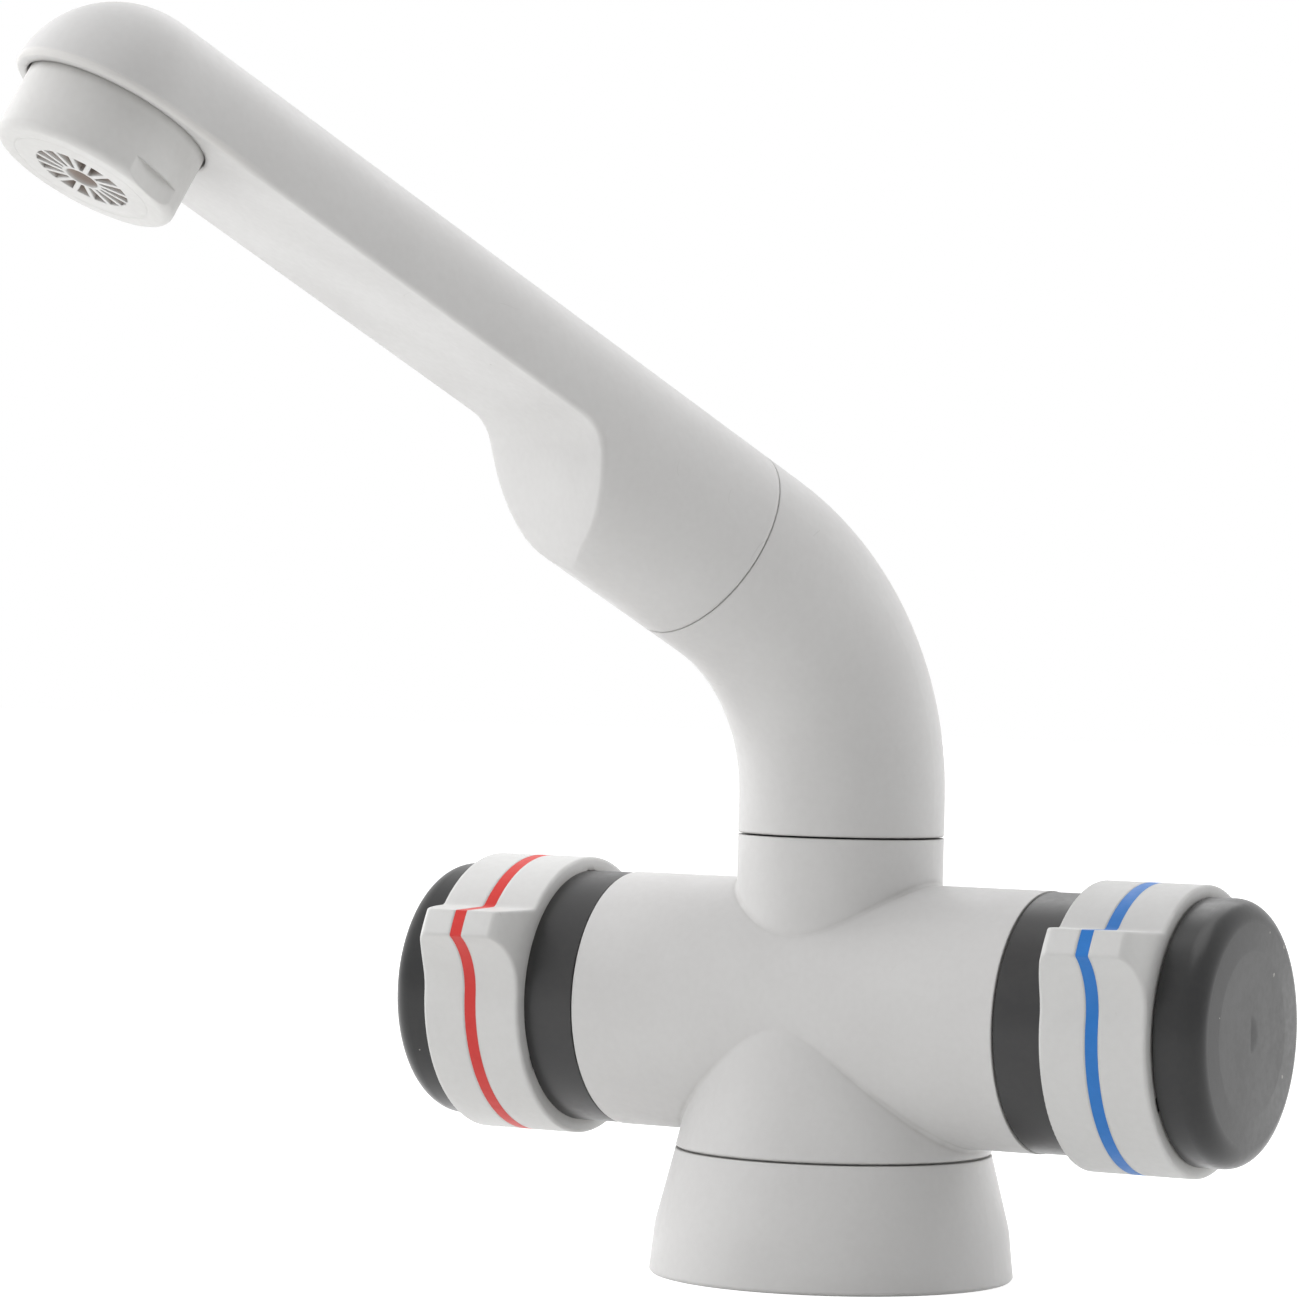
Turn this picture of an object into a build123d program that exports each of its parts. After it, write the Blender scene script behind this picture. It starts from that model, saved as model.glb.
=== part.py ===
from build123d import *
from collections import namedtuple
from math import acos, cos, degrees, radians, sin, sqrt, tan
import os

# Single-hole mixer tap. Millimetres, +Z up. The origin is the middle of the base on the worktop,
# +X runs along the barrel to the cold knob, and -Y is the front.

os.makedirs("parts", exist_ok=True)

# Clearances and walls that several pieces share
LAP_CLEARANCE = 0.1             # radial, where one piece laps another
FIT_CLEARANCE = 0.05            # radial, where one piece is pushed into another
SEAM_GAP = 0.3                  # between pieces that turn past each other
WALL = 3.0                      # of the body shell, the base rosette and the spout tube
TOLERANCE = 0.01                # for finding edges by place or size

# Body shell and base rosette
BARREL_AXIS_HEIGHT = 41.1
BARREL_RADIUS = 20.0
BARREL_HALF_LENGTH = 36.1
BARREL_BORE_RADIUS = BARREL_RADIUS - WALL
STUB_RADIUS = BARREL_RADIUS - 4.0
STUB_BORE_RADIUS = STUB_RADIUS - WALL
STUB_RISE = 27.0                # above the barrel axis
STUB_TOP = BARREL_AXIS_HEIGHT + STUB_RISE
BODY_FILLET = 0.5
SEAM_HEIGHT = BARREL_AXIS_HEIGHT - BARREL_RADIUS - 1.6
SEAM_RADIUS = BARREL_RADIUS + 4.6
SEAM_CHAMFER = 0.25             # on the shell's edge over the seam
SEAM_GROOVE_HEIGHT = 0.3        # shadow groove under the seam, round the rosette's rim
SEAM_GROOVE_DEPTH = 1.0
SKIRT_TOP_RADIUS = BARREL_RADIUS - 0.6     # that the taper would reach at the barrel's axis
SKIRT_SLOPE = (SEAM_RADIUS - SKIRT_TOP_RADIUS) / (BARREL_AXIS_HEIGHT - SEAM_HEIGHT)
SKIRT_HOLLOW_TOP = BARREL_AXIS_HEIGHT - BARREL_RADIUS / 2    # inside the barrel's bore
BASE_RADIUS = SEAM_RADIUS + 3.7
BAND_HEIGHT = 7.7               # the rosette's cone turns into its foot band here
BAND_RADIUS = BASE_RADIUS - 0.8
BAND_BLEND = 12.0
BASE_EDGE = 0.4
LIP_OUTER_RADIUS = SEAM_RADIUS - 2.5    # the shell's lip stands inside the rosette
LIP_INNER_RADIUS = LIP_OUTER_RADIUS - 1.5
LIP_DEPTH = 3.0
LIP_ROOT = 1.0
LEDGE_THICKNESS = 2.0           # ledge in the rosette under that lip
FOOT_THICKNESS = 3.0
SEAL_THICKNESS = 1.5
SEAL_OUTER_RADIUS = BASE_RADIUS - 1.9
SEAL_INNER_RADIUS = SEAL_OUTER_RADIUS - 3.6

# Valve block, a bar inside the barrel
BLOCK_RADIUS = BARREL_BORE_RADIUS - LAP_CLEARANCE
SOCKET_FLOOR = 14.0             # distances along the barrel are from the middle
SOCKET_RADIUS = 10.1
SOCKET_DEPTH = 11.0
SOCKET_MOUTH = SOCKET_FLOOR + SOCKET_DEPTH
SOCKET_MOUTH_RADIUS = SOCKET_RADIUS + 2.4
SOCKET_MOUTH_DEPTH = 7.0
BLOCK_HALF_LENGTH = SOCKET_MOUTH + SOCKET_MOUTH_DEPTH
SPOUT_HOLE_RADIUS = STUB_BORE_RADIUS - 0.4
SPOUT_HOLE_FLOOR = BARREL_AXIS_HEIGHT + 6.9
MIXING_RADIUS = 7.0
MIXING_FLOOR = BARREL_AXIS_HEIGHT - 1.0
INLET_X = SOCKET_FLOOR - 6.0
INLET_Y = 3.0
INLET_THREAD_RADIUS = 4.4
INLET_THREAD_TOP = BARREL_AXIS_HEIGHT - 7.1
INLET_BORE_RADIUS = 2.6
INLET_BORE_TOP = BARREL_AXIS_HEIGHT - 2.9
SPOT_FACE_RADIUS = 6.2
SPOT_FACE_DROP = 14.1           # below the barrel axis
SPOT_FACE_HEIGHT = BARREL_AXIS_HEIGHT - SPOT_FACE_DROP
INLET_PORT_RADIUS = 2.2
INLET_PORT_DROP = 4.6           # below the barrel axis
OUTLET_PORT_RADIUS = 2.0
OUTLET_PORT_RISE = 4.0          # above the barrel axis
INSERT_Y = -9.0
INSERT_RADIUS = 4.5
INSERT_TOP = BARREL_AXIS_HEIGHT - 3.6
INSERT_THREAD_RADIUS = 2.5      # M6 tapping size
INSERT_FLANGE_RADIUS = SPOT_FACE_RADIUS - 0.2
INSERT_FLANGE = 2.0

# Inlet tails
TAIL_BOTTOM = 3.0
TAIL_LEAD = 1.0                 # plain end below the barbs
TAIL_FLANGE = 2.5
TAIL_FLANGE_RADIUS = SPOT_FACE_RADIUS - 0.3
TAIL_BORE_RADIUS = 2.4
TAIL_RADIUS = TAIL_BORE_RADIUS + 1.2
TAIL_BARB_RADIUS = TAIL_RADIUS + 0.7
TAIL_BARB_PITCH = 4.0
TAIL_BARBS = 3
TAIL_SEAL_THICKNESS = 1.0

# Ceramic valves
VALVE_SEAL_THICKNESS = 1.0
VALVE_SEAL_RADIUS = SOCKET_RADIUS - 0.2
HOUSING_RADIUS = SOCKET_RADIUS - LAP_CLEARANCE
HOUSING_CAVITY_RADIUS = HOUSING_RADIUS - 1.4
DISC_RADIUS = HOUSING_CAVITY_RADIUS - LAP_CLEARANCE
FIXED_DISC_THICKNESS = 2.0
TURNING_DISC_THICKNESS = 2.5
TURNING_DISC_RADIUS = HOUSING_CAVITY_RADIUS - SEAM_GAP
DISC_GAP = 0.03
POCKET_LENGTH = 14.0
POCKET_WIDTH = 3.8
POCKET_DEPTH = 1.4
HOUSING_FLANGE_RADIUS = SOCKET_MOUTH_RADIUS - LAP_CLEARANCE
HOUSING_FLANGE = 2.0
HOUSING_NOSE_RADIUS = HOUSING_RADIUS - 2.0
HOUSING_NOSE_END = BLOCK_HALF_LENGTH + 1.5
HOUSING_CHAMFER = 0.5
NUT_THICKNESS = 4.0
NUT_HOLE_RADIUS = HOUSING_NOSE_RADIUS + 0.2
NUT_NOTCHES = 4
NUT_NOTCH_WIDTH = 3.0
NUT_NOTCH_DEPTH = 1.6
NUT_NOTCH_INNER_RADIUS = NUT_HOLE_RADIUS + 0.8
SPINDLE_FOOT = 2.5
SPINDLE_FOOT_GAP = 0.3
SPINDLE_RADIUS = 4.5
SPINDLE_BORE_CLEARANCE = 0.1
SPINDLE_TIP_RADIUS = SPINDLE_RADIUS - 0.5
SPINDLE_FLAT = 3.1              # half width across the two driving flats

# Knobs
COLLAR_WIDTH = 8.4
RING_WIDTH = 17.2
CAP_LENGTH = 7.6
HUB_INNER_END = BARREL_HALF_LENGTH + SEAM_GAP
RING_INNER_END = HUB_INNER_END + COLLAR_WIDTH
RING_OUTER_END = RING_INNER_END + RING_WIDTH
RING_RADIUS = BARREL_RADIUS + 2.0
RING_BORE_RADIUS = RING_RADIUS - 3.0
RING_EDGE = 0.4
NOSE_RISE = 6.7
NOSE_RADIUS = RING_RADIUS + NOSE_RISE   # radius of the land at the nose's tip
NOSE_LEDGE_HEIGHT = 14.8        # above the barrel axis, before the knob is turned to its rest
NOSE_HOLLOW_RADIUS = 10.6       # concave curve under the ridge
NOSE_HOLLOW_ANGLE = 3.8         # where that curve leaves the ring
NOSE_ROOT_FILLET = 1.6
NOSE_CORNER = 0.35
NOSE_TIP_HALF_WIDTH = 5.9       # along the barrel, at the land
NOSE_TIP_SLOPE = 0.6            # of the side where it meets the land
NOSE_SHOULDER_RADIUS = RING_RADIUS + 3.8
NOSE_SHOULDER_HALF_WIDTH = 7.85
STRIPE_WIDTH = 2.05
STRIPE_DEPTH = 0.8
HUB_COLLAR_RADIUS = BARREL_RADIUS - 0.15
HUB_SLEEVE_RADIUS = RING_BORE_RADIUS - FIT_CLEARANCE
HUB_HOLLOW_RADIUS = HUB_SLEEVE_RADIUS - 1.55
HUB_WEB_INNER = RING_INNER_END + 4.7
HUB_WEB_OUTER = HUB_WEB_INNER + 3.5
HUB_BOSS_RADIUS = SPINDLE_RADIUS + 2.5
HUB_BOSS_INNER_END = HUB_INNER_END + 2.4
HUB_CAP_BORE_RADIUS = HUB_SLEEVE_RADIUS - 1.95
KEY_COUNT = 3
KEY_WIDTH = 2.4
KEY_HEIGHT = 0.9
CAP_NECK_RADIUS = RING_BORE_RADIUS + 0.4
CAP_NECK = 0.4
CAP_RADIUS = BARREL_RADIUS + 0.2
CAP_END = RING_OUTER_END + CAP_LENGTH
CAP_ROUND = 3.5
CAP_DISH_RADIUS = 12.5
CAP_DISH_DEPTH = 0.25
CAP_SPIGOT_LENGTH = 5.0
CAP_SPIGOT_WALL = 1.8
SPINDLE_SHOULDER = HUB_BOSS_INNER_END - SEAM_GAP
SPINDLE_END = HUB_WEB_INNER - 0.1
SCREW_HEAD_RADIUS = 3.6
SCREW_HEAD_TOP_RADIUS = 3.0
SCREW_HEAD = 2.2
SCREW_RADIUS = 1.7
SCREW_LENGTH = 11.0
SCREW_RECESS_WIDTH = 0.8
SCREW_RECESS_DEPTH = 1.2
SPINDLE_SCREW_HOLE = 9.0
SCREW_HOLE_CLEARANCE = 0.1

# Spout socket and swivel
SOCKET_TUBE_BOTTOM = SPOUT_HOLE_FLOOR + 1.0
SOCKET_SEAL_INNER_RADIUS = MIXING_RADIUS + 1.0
SOCKET_TUBE_RADIUS = STUB_BORE_RADIUS - LAP_CLEARANCE
SOCKET_TUBE_THREAD_RADIUS = SPOUT_HOLE_RADIUS - LAP_CLEARANCE
SOCKET_TUBE_THREAD_TOP = BARREL_AXIS_HEIGHT + BLOCK_RADIUS + 0.2
SPIGOT_HOLE_RADIUS = SOCKET_TUBE_RADIUS - 2.9
SPIGOT_HOLE_DEPTH = 15.1
SPIGOT_HOLE_FLOOR = STUB_TOP - SPIGOT_HOLE_DEPTH
CLIP_GROOVE_RADIUS = SPIGOT_HOLE_RADIUS + 0.9
CLIP_GROOVE_LOW = SPIGOT_HOLE_FLOOR + 2.0
CLIP_GROOVE_HIGH = CLIP_GROOVE_LOW + 1.6
WASHER_OUTER_RADIUS = SOCKET_TUBE_RADIUS - 0.9
WASHER_INNER_RADIUS = SPIGOT_HOLE_RADIUS + 0.2
WASHER_SEAT = STUB_TOP - 0.8
WASHER_TOP = STUB_TOP + 0.25
ELBOW_BOTTOM = STUB_TOP + SEAM_GAP
SPIGOT_RADIUS = SPIGOT_HOLE_RADIUS - 0.06
SPIGOT_BOTTOM = SPIGOT_HOLE_FLOOR + 1.0
SPIGOT_BORE_RADIUS = 6.5
SWIVEL_GROOVE_FLOOR = SPIGOT_RADIUS - 1.94
SWIVEL_GROOVE_WIDTH = 2.3
SWIVEL_GROOVE_HEIGHTS = (STUB_TOP - 7.3, STUB_TOP - 3.6)
CLIP_INNER_RADIUS = SPIGOT_RADIUS - 1.04
CLIP_OUTER_RADIUS = CLIP_GROOVE_RADIUS - 0.2
CLIP_LOW = CLIP_GROOVE_LOW + 0.25
CLIP_HIGH = CLIP_GROOVE_HIGH - 0.25
CLIP_GAP = 5.0

# Spout elbow and arm
SPOUT_RADIUS = STUB_RADIUS
SPOUT_BORE_RADIUS = SPOUT_RADIUS - WALL
ELBOW_FLOOR = 3.0
ELBOW_EDGE = 0.2
SPOUT_AZIMUTH = -115.1          # direction of the arm seen from above, from +X
ARM_ELEVATION = 28.45
BEND_START = ELBOW_BOTTOM + 5.8
BEND_RADIUS = 40.1
ELBOW_END = 7.4                 # distances along the arm are from the end of the bend
ARM_SEAM_GAP = 0.15
ARM_ROLL = -3.0                 # the arm sits slightly turned in the elbow
ARM_SPIGOT_RADIUS = SPOUT_BORE_RADIUS - LAP_CLEARANCE
ARM_SPIGOT_START = 0.8
ARM_SPIGOT_BORE = ARM_SPIGOT_RADIUS - 3.9
ARM_GROOVE_CENTRE = 3.8
ARM_GROOVE_WIDTH = 2.2
ARM_GROOVE_FLOOR = ARM_SPIGOT_RADIUS - 1.9
SCOOP_TOP_END = 45.3            # the flat underside starts here
SCOOP_TOP_RADIUS = 7.2
SCOOP_SLOPE = 51.5
SCOOP_BOTTOM_RADIUS = 8.0
SCOOP_DEPTH = SPOUT_RADIUS + 0.1
SCOOP_CREASE = 0.8
OUTLET_STATION = 125.6
WATERWAY_RADIUS = 4.5
WATERWAY_HEIGHT = 7.0
WATERWAY_START = 18.0
ROOT_BORE_END = WATERWAY_START + 4.0

# Outlet and aerator; heights are from the arm's underside, and the water leaves downwards
RECESS_RADIUS = SPOUT_RADIUS - 1.9
RECESS_HEIGHT = 2.4
NECK_SOCKET_RADIUS = RECESS_RADIUS - 2.5
NECK_SOCKET_HEIGHT = 8.5
CHAMBER_RADIUS = NECK_SOCKET_RADIUS - 3.6
CHAMBER_HEIGHT = 11.0
AERATOR_RADIUS = RECESS_RADIUS - 0.35
AERATOR_DROP = 10.3
AERATOR_SKIRT_TOP = RECESS_HEIGHT - 0.4
AERATOR_EDGE = 1.3
AERATOR_NECK_RADIUS = NECK_SOCKET_RADIUS - LAP_CLEARANCE
AERATOR_NECK_TOP = NECK_SOCKET_HEIGHT - 1.5
AERATOR_BORE_RADIUS = AERATOR_NECK_RADIUS - 2.0
AERATOR_LEDGE_RADIUS = AERATOR_BORE_RADIUS - 0.9
AERATOR_LEDGE_HEIGHT = 2.0      # the insert rests here
AERATOR_FACE = 2.0
FLAT_HEIGHT = 3.2 - AERATOR_DROP
FLAT_DISTANCE = AERATOR_RADIUS - 0.85
FLAT_ANGLE = 109.0
FACE_SLOTS = 16
FACE_SLOT_INNER = 3.1
FACE_SLOT_OUTER = 7.15
FACE_RIB = 0.8
FACE_HOLE_RADIUS = FACE_SLOT_INNER - 0.65
INSERT_CUP_RADIUS = AERATOR_BORE_RADIUS - LAP_CLEARANCE
INSERT_WALL = 1.0
INSERT_PLATE = 1.6
JET_HOLE_RADIUS = 0.7
INNER_JETS = 6
INNER_JETS_RADIUS = 3.0         # of the circle that they stand on
OUTER_JETS = 12
OUTER_JETS_RADIUS = 6.2
MESH_THICKNESS = 0.8
AERATOR_WASHER_INNER = CHAMBER_RADIUS + 0.4
AERATOR_WASHER_OUTER = NECK_SOCKET_RADIUS - 0.2

Side = namedtuple("Side", "name sign nose_angle")
HOT = Side("hot", -1, 20.2)     # the two noses don't stand quite alike
COLD = Side("cold", 1, 24.5)

# Places worked out from the sizes above
BARREL_AXIS = Axis((0, 0, BARREL_AXIS_HEIGHT), (1, 0, 0))
VALVE_FLOOR = SOCKET_FLOOR + VALVE_SEAL_THICKNESS
FIXED_DISC_END = VALVE_FLOOR + FIXED_DISC_THICKNESS
TURNING_DISC_START = FIXED_DISC_END + DISC_GAP
TURNING_DISC_END = TURNING_DISC_START + TURNING_DISC_THICKNESS
SPINDLE_FOOT_END = TURNING_DISC_END + SPINDLE_FOOT
HOUSING_CAVITY_END = SPINDLE_FOOT_END + SPINDLE_FOOT_GAP
NUT_START = SOCKET_MOUTH + HOUSING_FLANGE
RING_MIDDLE = (RING_INNER_END + RING_OUTER_END) / 2
RING_HALF_WIDTH = (RING_OUTER_END - RING_INNER_END) / 2
CAP_START = RING_OUTER_END
ELBOW_TURN = 90 - ARM_ELEVATION
NOSE_HOLLOW_DISTANCE = RING_RADIUS + NOSE_HOLLOW_RADIUS
NOSE_RIDGE_ANGLE = NOSE_HOLLOW_ANGLE + degrees(
    acos(
        (NOSE_RADIUS**2 + NOSE_HOLLOW_DISTANCE**2 - NOSE_HOLLOW_RADIUS**2)
        / (2 * NOSE_RADIUS * NOSE_HOLLOW_DISTANCE)
    )
)


def save(piece, name):
    """Label a finished piece and write it under its node name."""
    piece.part.label = name
    export_step(piece.part, f"parts/{name}.step")


def edges_at_height(piece, height):
    """Edges of a piece that lie level at one height."""
    return piece.edges().filter_by_position(Axis.Z, height - TOLERANCE, height + TOLERANCE)


def lengthwise_plane(side):
    """Plane through the barrel axis: x is the distance from the middle, y the height above the axis."""
    return Plane(origin=(0, 0, BARREL_AXIS_HEIGHT), x_dir=(side.sign, 0, 0), z_dir=(0, -side.sign, 0))


def cross_plane(side, distance, turn=0):
    """Plane across the barrel: x points to the front, raised by the turn, and extrusions run to -X."""
    origin = (side.sign * distance, 0, BARREL_AXIS_HEIGHT)
    front = (0, -cos(radians(turn)), sin(radians(turn)))
    return Plane(origin=origin, x_dir=front, z_dir=(-1, 0, 0))


def turn_on_barrel(side, outline, mode=Mode.ADD):
    """Turn (distance, radius) corners about the barrel axis, in the part being built."""
    with BuildSketch(lengthwise_plane(side)) as section:
        with BuildLine():
            Polyline(*outline, close=True)
        make_face()
    revolve(section.sketch, axis=BARREL_AXIS, mode=mode)


def turn_upright(outline, mode=Mode.ADD):
    """Turn (radius, height) corners about the Z axis, in the part being built."""
    with BuildSketch(Plane.XZ) as section:
        with BuildLine():
            Polyline(*outline, close=True)
        make_face()
    revolve(section.sketch, axis=Axis.Z, mode=mode)


# Body shell: barrel, stub and upper skirt in one moulding, with the bores for what it holds
def skirt_radius(height):
    return SEAM_RADIUS - SKIRT_SLOPE * (height - SEAM_HEIGHT)


with BuildPart() as body_shell:
    with BuildSketch(Plane.YZ.offset(-BARREL_HALF_LENGTH)):
        with Locations((0, BARREL_AXIS_HEIGHT)):
            Circle(BARREL_RADIUS)
    extrude(amount=2 * BARREL_HALF_LENGTH)
    with BuildSketch(Plane.XY.offset(BARREL_AXIS_HEIGHT)):
        Circle(STUB_RADIUS)
    extrude(amount=STUB_TOP - BARREL_AXIS_HEIGHT)
    with BuildSketch(Plane.XZ):
        with BuildLine():
            Polyline(
                (0, SEAM_HEIGHT),
                (SEAM_RADIUS, SEAM_HEIGHT),
                (skirt_radius(BARREL_AXIS_HEIGHT), BARREL_AXIS_HEIGHT),
                (0, BARREL_AXIS_HEIGHT),
                close=True,
            )
        make_face()
    revolve(axis=Axis.Z)
    not_round = body_shell.edges().filter_by(GeomType.CIRCLE, reverse=True)
    fillet(not_round.filter_by(GeomType.LINE, reverse=True), radius=BODY_FILLET)
    seam_edge = body_shell.edges().filter_by(GeomType.CIRCLE).sort_by(Axis.Z)[0]
    chamfer(seam_edge, length=SEAM_CHAMFER)
    # Bore for the valve block, bore for the spout socket and the hollow under the barrel
    with BuildSketch(Plane.YZ.offset(-BARREL_HALF_LENGTH)):
        with Locations((0, BARREL_AXIS_HEIGHT)):
            Circle(BARREL_BORE_RADIUS)
    extrude(amount=2 * BARREL_HALF_LENGTH, mode=Mode.SUBTRACT)
    with BuildSketch(Plane.XY.offset(BARREL_AXIS_HEIGHT)):
        Circle(STUB_BORE_RADIUS)
    extrude(amount=STUB_TOP - BARREL_AXIS_HEIGHT, mode=Mode.SUBTRACT)
    with BuildSketch(Plane.XZ):
        with BuildLine():
            Polyline(
                (0, SEAM_HEIGHT),
                (SEAM_RADIUS - WALL, SEAM_HEIGHT),
                (skirt_radius(SKIRT_HOLLOW_TOP) - WALL, SKIRT_HOLLOW_TOP),
                (0, SKIRT_HOLLOW_TOP),
                close=True,
            )
        make_face()
    revolve(axis=Axis.Z, mode=Mode.SUBTRACT)
    # Lip that centres the shell in the rosette
    with BuildSketch(Plane.XY.offset(SEAM_HEIGHT - LIP_DEPTH)):
        Circle(LIP_OUTER_RADIUS)
        Circle(LIP_INNER_RADIUS, mode=Mode.SUBTRACT)
    extrude(amount=LIP_DEPTH + LIP_ROOT)
save(body_shell, "body_shell")


# Base rosette: the flared foot, hollow, with a ledge for the shell's lip and a rebate for the seal
with BuildPart() as base_rosette:
    ledge = SEAM_HEIGHT - LIP_DEPTH - LAP_CLEARANCE
    with BuildSketch(Plane.XZ) as section:
        with BuildLine():
            Polyline(
                (SEAL_OUTER_RADIUS, 0),
                (BASE_RADIUS, 0),
                (BAND_RADIUS, BAND_HEIGHT),
                (SEAM_RADIUS, SEAM_HEIGHT - SEAM_GROOVE_HEIGHT),
                (SEAM_RADIUS - SEAM_GROOVE_DEPTH, SEAM_HEIGHT - SEAM_GROOVE_HEIGHT),
                (SEAM_RADIUS - SEAM_GROOVE_DEPTH, SEAM_HEIGHT),
                (LIP_OUTER_RADIUS + LAP_CLEARANCE, SEAM_HEIGHT),
                (LIP_OUTER_RADIUS + LAP_CLEARANCE, ledge),
                (LIP_INNER_RADIUS, ledge),
                (LIP_INNER_RADIUS, ledge - LEDGE_THICKNESS),
                (BAND_RADIUS - WALL, BAND_HEIGHT),
                (BAND_RADIUS - WALL, SEAL_THICKNESS + FOOT_THICKNESS),
                (SEAL_INNER_RADIUS, SEAL_THICKNESS + FOOT_THICKNESS),
                (SEAL_INNER_RADIUS, SEAL_THICKNESS),
                (SEAL_OUTER_RADIUS, SEAL_THICKNESS),
                close=True,
            )
        make_face()
        band_corner = section.vertices().sort_by_distance((BAND_RADIUS, BAND_HEIGHT, 0))[0]
        fillet(band_corner, radius=BAND_BLEND)
    revolve(axis=Axis.Z)
    foot_edges = edges_at_height(base_rosette, 0)
    chamfer(foot_edges.sort_by(SortBy.LENGTH)[-1], length=BASE_EDGE)
save(base_rosette, "base_rosette")


# Base seal: rubber ring that keeps splashes out of the worktop hole
with BuildPart() as base_seal:
    with BuildSketch(Plane.XY):
        Circle(SEAL_OUTER_RADIUS - LAP_CLEARANCE)
        Circle(SEAL_INNER_RADIUS, mode=Mode.SUBTRACT)
    extrude(amount=SEAL_THICKNESS)
save(base_seal, "base_seal")


# Valve block: bar with a valve socket at each end, the mixing chamber and the threaded holes below
with BuildPart() as valve_block:
    with BuildSketch(Plane.YZ.offset(-BLOCK_HALF_LENGTH)):
        with Locations((0, BARREL_AXIS_HEIGHT)):
            Circle(BLOCK_RADIUS)
    extrude(amount=2 * BLOCK_HALF_LENGTH)
    for side in (HOT, COLD):
        # Valve socket with its wider, threaded mouth
        turn_on_barrel(
            side,
            (
                (SOCKET_FLOOR, 0),
                (SOCKET_FLOOR, SOCKET_RADIUS),
                (SOCKET_MOUTH, SOCKET_RADIUS),
                (SOCKET_MOUTH, SOCKET_MOUTH_RADIUS),
                (BLOCK_HALF_LENGTH, SOCKET_MOUTH_RADIUS),
                (BLOCK_HALF_LENGTH, 0),
            ),
            mode=Mode.SUBTRACT,
        )
        # Water in from the tail below, and out to the mixing chamber
        with BuildSketch(cross_plane(side, SOCKET_FLOOR)):
            with Locations((-INLET_Y, -INLET_PORT_DROP)):
                Circle(INLET_PORT_RADIUS)
        extrude(amount=side.sign * (SOCKET_FLOOR - INLET_X), mode=Mode.SUBTRACT)
        with BuildSketch(cross_plane(side, SOCKET_FLOOR)):
            with Locations((0, OUTLET_PORT_RISE)):
                Circle(OUTLET_PORT_RADIUS)
        extrude(amount=side.sign * (SOCKET_FLOOR - MIXING_RADIUS / 2), mode=Mode.SUBTRACT)
    with BuildSketch(Plane.XY.offset(SPOUT_HOLE_FLOOR)):
        Circle(SPOUT_HOLE_RADIUS)
    extrude(amount=BLOCK_RADIUS, mode=Mode.SUBTRACT)
    with BuildSketch(Plane.XY.offset(MIXING_FLOOR)):
        Circle(MIXING_RADIUS)
    extrude(amount=SPOUT_HOLE_FLOOR - MIXING_FLOOR, mode=Mode.SUBTRACT)
    # Inlet holes and the hole for the fixing insert, spot-faced from below
    with BuildSketch(Plane.XY):
        with Locations((-INLET_X, INLET_Y), (INLET_X, INLET_Y), (0, INSERT_Y)):
            Circle(SPOT_FACE_RADIUS)
    extrude(amount=SPOT_FACE_HEIGHT, mode=Mode.SUBTRACT)
    with BuildSketch(Plane.XY):
        with Locations((-INLET_X, INLET_Y), (INLET_X, INLET_Y)):
            Circle(INLET_THREAD_RADIUS)
    extrude(amount=INLET_THREAD_TOP, mode=Mode.SUBTRACT)
    with BuildSketch(Plane.XY):
        with Locations((-INLET_X, INLET_Y), (INLET_X, INLET_Y)):
            Circle(INLET_BORE_RADIUS)
    extrude(amount=INLET_BORE_TOP, mode=Mode.SUBTRACT)
    with BuildSketch(Plane.XY):
        with Locations((0, INSERT_Y)):
            Circle(INSERT_RADIUS)
    extrude(amount=INSERT_TOP, mode=Mode.SUBTRACT)
save(valve_block, "valve_block")


# Fixing insert: threaded bush for the stud that clamps the tap down
with BuildPart() as fixing_insert:
    flange_bottom = SPOT_FACE_HEIGHT - INSERT_FLANGE
    with BuildSketch(Plane.XY.offset(flange_bottom)):
        with Locations((0, INSERT_Y)):
            Circle(INSERT_FLANGE_RADIUS)
    extrude(amount=INSERT_FLANGE)
    with BuildSketch(Plane.XY.offset(SPOT_FACE_HEIGHT)):
        with Locations((0, INSERT_Y)):
            Circle(INSERT_RADIUS)
    extrude(amount=INSERT_TOP - SPOT_FACE_HEIGHT)
    with BuildSketch(Plane.XY.offset(flange_bottom)):
        with Locations((0, INSERT_Y)):
            Circle(INSERT_THREAD_RADIUS)
    extrude(amount=INSERT_TOP - flange_bottom, mode=Mode.SUBTRACT)
save(fixing_insert, "fixing_insert")


# Inlet tails: threaded into the block, with a hexagon and a barbed end for the hose
def build_inlet_tail(side):
    flange_top = SPOT_FACE_HEIGHT - TAIL_SEAL_THICKNESS
    flange_bottom = flange_top - TAIL_FLANGE
    centre = (side.sign * INLET_X, INLET_Y)
    with BuildPart() as inlet_tail:
        with BuildSketch(Plane.XY.offset(TAIL_BOTTOM)):
            with Locations(centre):
                Circle(TAIL_RADIUS)
        extrude(amount=flange_bottom - TAIL_BOTTOM)
        with BuildSketch(Plane.XY.offset(flange_bottom)):
            with Locations(centre):
                RegularPolygon(TAIL_FLANGE_RADIUS, 6)
        extrude(amount=TAIL_FLANGE)
        with BuildSketch(Plane.XY.offset(flange_top)):
            with Locations(centre):
                Circle(INLET_THREAD_RADIUS)
        extrude(amount=INLET_THREAD_TOP - flange_top)
        for number in range(TAIL_BARBS):
            barb_bottom = TAIL_BOTTOM + TAIL_LEAD + number * TAIL_BARB_PITCH
            with Locations((centre[0], centre[1], barb_bottom)):
                Cone(
                    TAIL_RADIUS,
                    TAIL_BARB_RADIUS,
                    TAIL_BARB_PITCH / 2,
                    align=(Align.CENTER, Align.CENTER, Align.MIN),
                )
        with BuildSketch(Plane.XY.offset(TAIL_BOTTOM)):
            with Locations(centre):
                Circle(TAIL_BORE_RADIUS)
        extrude(amount=INLET_THREAD_TOP - TAIL_BOTTOM, mode=Mode.SUBTRACT)
    return inlet_tail


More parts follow.
